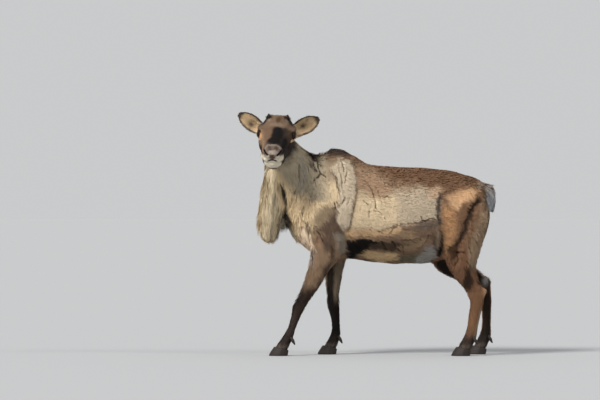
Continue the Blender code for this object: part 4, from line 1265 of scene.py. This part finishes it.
def lid_ring(skin, place, side):
    """Both lids of one eye in one ring: margin on the ball, rolled rim, and a slope down into the face."""
    out, flat, high = eye_axes(side)
    bm = bmesh.new()
    rings = []
    for scale, stand in LID_RINGS:
        ring = []
        for k in range(LID_POINTS):
            angle = 2 * math.pi * k / LID_POINTS
            x = LID_HALF_LENGTH * math.cos(angle) * scale
            y = LID_HALF_HEIGHT * math.sin(angle) * (1.0 - 0.22 * math.cos(angle)) * scale
            y += 0.0012 if math.sin(angle) > 0 else 0.0
            radius = EYE_RADIUS + LID_GAP + (stand or 0.0)
            rise = math.sqrt(max(radius * radius - x * x - y * y, (0.45 * radius) ** 2))
            spot = place + flat * x + high * y + out * rise
            if stand is None:
                nearest, normal, _, _ = skin.tree.find_nearest(spot)
                spot = nearest + normal * LID_ON_FACE
            ring.append(bm.verts.new(spot))
        rings.append(ring)
    for first, second in zip(rings, rings[1:]):
        for k in range(LID_POINTS):
            after = (k + 1) % LID_POINTS
            bm.faces.new((first[k], first[after], second[after], second[k]))
    bmesh.ops.recalc_face_normals(bm, faces=bm.faces[:])
    bm.faces.ensure_lookup_table()
    if bm.faces[LID_POINTS * 2].normal.dot(out) < 0:
        bmesh.ops.reverse_faces(bm, faces=bm.faces[:])
    mesh = bpy.data.meshes.new("lid")
    bm.to_mesh(mesh)
    bm.free()
    return mesh


def eyeball(name, place, side):
    """One eye's ball, with its iris and wide upright pupil."""
    bm = bmesh.new()
    bmesh.ops.create_uvsphere(bm, u_segments=64, v_segments=48, radius=EYE_RADIUS - LID_GAP,
                              matrix=Matrix.Translation(place))
    mesh = bpy.data.meshes.new(name)
    bm.to_mesh(mesh)
    bm.free()
    out, flat, high = (np.array(axis) for axis in eye_axes(side))
    away = positions(mesh) - np.array(place)
    x, y, front = away @ flat, away @ high, away @ out > 0
    colour = np.tile(TONE["sclera"], (len(away), 1))
    tint(colour, "iris", between(0.0118, 0.0104, np.hypot(x, y)) * front)
    tint(colour, "pupil", between(1.15, 0.9, np.hypot(x / 0.0078, y / 0.0056)) * front)
    paint_skin(mesh, colour)
    mesh.shade_smooth()
    mesh.materials.append(wet)
    ball = new_object(name + "_ball", mesh)
    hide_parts(name)
    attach(ball, "root")


# Put together

hair = coat_hair()
underfur = coat_skin()
horn = hoof_horn()
wet = eye_gloss()

body = body_skin()
head = head_skin()
ears = {name: ear_skin(name) for name in EAR_SIDE}
lids = [lid_ring(head, eye_left_place, 1.0), lid_ring(head, eye_right_place, -1.0)]


def skin_piece():
    """Body, head, ears and lids joined to one skin, thinned under the coat that hides it."""
    # The skin is painted lighter to offset the coat's shade on it, and darker in the partings as painted
    # shade
    shade = 1.15 - 0.90 * cracks(body.points)
    paint_skin(body.mesh, body_colour(body.points, body.facing, body.labels) * shade[:, None])
    paint_skin(head.mesh, head_colour(head.points))
    for name, ear in ears.items():
        paint_skin(ear.mesh, ear_colour(EAR_SIDE[name], ear.points, ear.facing))
    for lid in lids:
        paint_skin(lid, head_colour(positions(lid)))
    parts = []
    for mesh in [body.mesh, head.mesh] + [ear.mesh for ear in ears.values()] + lids:
        mesh.shade_smooth()
        parts.append(new_object("skin_part", mesh.copy()))
    with bpy.context.temp_override(active_object=parts[0], selected_editable_objects=parts):
        bpy.ops.object.join()
    thin = parts[0].modifiers.new("thin", "DECIMATE")
    thin.ratio = SKIN_SHARE
    skin = new_object("skin", evaluated(parts[0]))
    skin.data.materials.append(underfur)
    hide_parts("head", "ear_left", "ear_right", *BODY_NODES)
    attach(skin, "root")


skin_piece()
eyeball("eye_left", eye_left_place, 1.0)
eyeball("eye_right", eye_right_place, -1.0)

names = np.array(BODY_NODES)[body.labels]
on_trunk = names == "trunk"
on_leg = np.char.startswith(names, "leg")
on_upper = np.char.endswith(names, "_upper")
on_left = body.points[:, 1] < mid_y


def body_tone(root, facing, corners):
    return body_colour(root, facing, body.labels[corners[:, 0]])


def head_tone(root, facing, corners):
    return head_colour(root)


def trunk_unwrap(root, facing, corners):
    """The barrel opened out: along the body, and round it by angle."""
    angle = np.arctan2(np.abs(root[:, 1] - mid_y), root[:, 2] - 0.69)
    return fitted(root[:, 0], angle)


# The middle of neck, mane and tail as one column, by height
COLUMN_HEIGHTS = (0.5, 0.7, 0.85, 1.05)
COLUMN_X = (-0.46, -0.40, -0.37, -0.42)
COLUMN_Y = (0.03, 0.03, 0.06, -0.03)


def column_unwrap(root, facing, corners):
    """Neck, mane or tail opened out like a tube: round it by angle, and down its height."""
    across = root[:, 1] - np.interp(root[:, 2], COLUMN_HEIGHTS, COLUMN_Y)
    along = root[:, 0] - np.interp(root[:, 2], COLUMN_HEIGHTS, COLUMN_X)
    return fitted(np.arctan2(across, along), root[:, 2])


def leg_unwrap(root, facing, corners):
    """Four tubes side by side: round each leg by the way it faces, and down its height."""
    labels = names[corners[:, 0]]
    column = np.zeros(len(root))
    for number, leg in enumerate(LEG_NAMES):
        column[np.char.startswith(labels, leg)] = number
    angle = np.arctan2(facing[:, 1], facing[:, 0]) / (2 * math.pi) + 0.5
    return fitted(column + 0.04 + 0.92 * angle, root[:, 2])


def head_unwrap(root, facing, corners):
    """The face opened out: round the muzzle by angle, and along it."""
    place = in_head(root)
    angle = np.arctan2(place[:, 2], place[:, 1] + 0.035)
    return fitted(angle, place[:, 0])


def coat_piece(name, slot, skin, weight, count, segments, tone, unwrap, locks, wild=0.10, parting=None,
               rise=0.35):
    """A coat piece of count tufts where the weight is, each of some segments. Locks is the share of
    tufts that others gather round, wild how far tufts stray, rise how low the lowest of them lie."""
    piece = tuft_mesh(name, skin, weight * 1.0, int(count * tuft_share), segments, tone, unwrap, locks, wild,
                      parting, rise)
    piece.data.materials.append(hair)
    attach(piece, "root")


FLANK = (39000, 3, trunk_unwrap, 0.10, 0.12, cracks, 0.82)
# Name, slot, where it grows, tufts, segments, unwrap, locks, wild, parting, rise
BODY_COAT = (
    ("coat_flank_left", "coat_body", on_trunk & on_left, *FLANK),
    ("coat_flank_right", "coat_body", on_trunk & ~on_left, *FLANK),
    ("coat_neck", "coat_neck", names == "neck", 22000, 5, column_unwrap, 0.06, 0.10, cracks, 0.35),
    ("coat_mane", "coat_mane", names == "throat_mane", 16500, 6, column_unwrap, 0.05, 0.07, None, 0.55),
    ("coat_tail", "coat_tail", names == "tail", 6000, 5, column_unwrap, 0.06, 0.16, None, 0.5),
    ("coat_upper_legs", "coat_leg", on_leg & on_upper, 28000, 4, leg_unwrap, 0.12, 0.12, cracks, 0.35),
    ("coat_shanks", "coat_shank", on_leg & ~on_upper, 36000, 3, leg_unwrap, 0.15, 0.08, None, 0.35),
)
for piece_name, slot_name, grown_on, tufts, segments, unwrap, *habit in BODY_COAT:
    coat_piece(piece_name, slot_name, body, grown_on, tufts, segments, body_tone, unwrap, *habit)


def face_coat():
    """Hair all over the head but the nostrils, the mouth's line and the eyes, closest on the muzzle."""
    along, _, _, _, nostril, mouth, eye = head_fields(head.points)
    weight = between(0.0036, 0.0052, nostril) * between(0.0172, 0.0182, eye)
    weight *= past_neck(head.points) > -0.012
    weight *= 1 - between(0.003, 0.001, mouth) * between(MOUTH_BACK, MOUTH_BACK + 0.02, along)
    weight *= 1.0 + 0.6 * between(0.12, 0.2, along)
    coat_piece("coat_face", "coat_face", head, weight, 38000, 3, head_tone, head_unwrap, 0.2)


def ear_coat(name):
    """Longer hair inside the ear, short at its rim and behind."""
    ear = ears[name]

    def tone(root, facing, corners):
        return ear_colour(EAR_SIDE[name], root, facing)

    def unwrap(root, facing, corners):
        """Front and back of the ear side by side, up its length."""
        thirds = np.full((len(root), 3), 1 / 3)
        front = spread(ear.inner, corners, thirds) > 0
        return fitted(spread(ear.sideways, corners, thirds) + 2.4 * front, spread(ear.reach, corners, thirds))

    coat_piece("coat_" + name, "coat_ear", ear, np.ones(len(ear.points)), 7000, 3, tone, unwrap, 0.2)


face_coat()
for ear_name in ears:
    ear_coat(ear_name)


def hooves():
    """Each foot's two claws and two dewclaws, in horn, flat on the ground."""
    for leg in LEG_NAMES:
        nodes = [leg + claw for claw in CLAWS]
        mesh = fused([merged_shell(node, 0.0) for node in nodes], HOOF_MESH, HOOF_ROUNDS)
        spots = positions(mesh)
        spots[:, 2] = np.maximum(spots[:, 2], 0.0)
        set_positions(mesh, spots)
        mesh.shade_smooth()
        mesh.materials.append(horn)
        hoof = new_object(leg + "_hoof", mesh)
        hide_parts(*nodes)
        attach(hoof, "root")


def pedicle_tone(root, facing, corners):
    return np.tile(TONE["pedicle"], (len(root), 1))


def pedicle_stub(node):
    """The stub an antler was cast from: a healed knob in short dark hair that stands up round it."""
    skin = Skin(fused([merged_shell(node, -0.0015)], STUB_MESH, STUB_ROUNDS))
    up_axis = np.array(head_up)
    from_middle = skin.points - skin.points.mean(axis=0)
    height = from_middle @ up_axis
    comb = up_axis + 0.25 * unit(from_middle) - 0.25 * np.array(head_forward)
    ones = np.ones(len(height))
    length = 0.012 * between(0.014, 0.0, height) + 0.004
    finish_fields(skin, np.column_stack([0.003 * ones, length, 0.0012 * ones, 0.5 * ones, comb]))
    paint_skin(skin.mesh, TONE["pedicle"] * (1 + 0.15 * cloud(skin.points, 0.005, 61))[:, None])
    skin.mesh.shade_smooth()
    skin.mesh.materials.append(underfur)
    stub = new_object(node + "_stub", skin.mesh)
    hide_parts(node)
    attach(stub, "root")
    coat_piece("coat_" + node, "pedicle", skin, ones, 1300, 3, pedicle_tone, head_unwrap, 0.1)


hooves()
pedicle_stub("pedicle_left")
pedicle_stub("pedicle_right")


# Floor, light and camera

SKY_TONE = np.array((0.98, 0.99, 1.0))
SKY_STRENGTH = 0.60
LAMP_TONE = np.array((1.0, 0.975, 0.94))
# Name, strength, and in degrees how wide it is, how high it stands, and the way it comes from
LAMPS = (("key", 3.3, 18.0, 38.0, -38.0), ("fill", 0.45, 11.0, 35.0, 60.0))
FLOOR_RADIUS = 150.0
# The camera looks straight across the animal from 20 m off; its lens in millimetres
CAMERA_PLACE = (-0.3177, -20.0, 0.7332)
CAMERA_LENS = 255.0
CAMERA_REACH = 400.0


def studio():
    """A pale floor and two soft lamps, and the camera. The floor's tone makes it as pale as the sky."""
    bm = bmesh.new()
    bmesh.ops.create_circle(bm, cap_ends=True, segments=96, radius=FLOOR_RADIUS)
    mesh = bpy.data.meshes.new("floor")
    bm.to_mesh(mesh)
    bm.free()
    floor = new_object("floor", mesh)
    paper, _, shader = material("pale_studio_floor", 0.9, 0.1)
    from_sky = math.pi * SKY_STRENGTH * SKY_TONE
    on_floor = sum(strength * math.sin(math.radians(height)) for _, strength, _, height, _ in LAMPS)
    shader.inputs["Base Color"].default_value = (*(from_sky / (from_sky + on_floor * LAMP_TONE)), 1)
    mesh.materials.append(paper)
    world = bpy.data.worlds.new("studio")
    world.use_nodes = True
    back = world.node_tree.nodes["Background"]
    back.inputs["Color"].default_value = (*SKY_TONE, 1)
    back.inputs["Strength"].default_value = SKY_STRENGTH
    bpy.context.scene.world = world
    for name, strength, width, height, turn in LAMPS:
        lamp = bpy.data.lights.new(name, "SUN")
        lamp.energy = strength
        lamp.angle = math.radians(width)
        lamp.color = LAMP_TONE
        item = bpy.data.objects.new(name, lamp)
        item.rotation_euler = (math.radians(90.0 - height), 0.0, math.radians(turn))
        bpy.context.scene.collection.objects.link(item)
    camera = bpy.data.cameras.new("camera")
    camera.sensor_width = 36.0
    camera.lens = CAMERA_LENS
    camera.clip_end = CAMERA_REACH
    item = bpy.data.objects.new("camera", camera)
    item.location = CAMERA_PLACE
    item.rotation_euler = (math.radians(90.0), 0.0, 0.0)
    bpy.context.scene.collection.objects.link(item)
    bpy.context.scene.camera = item
    bpy.context.scene.view_settings.view_transform = "Standard"


studio()
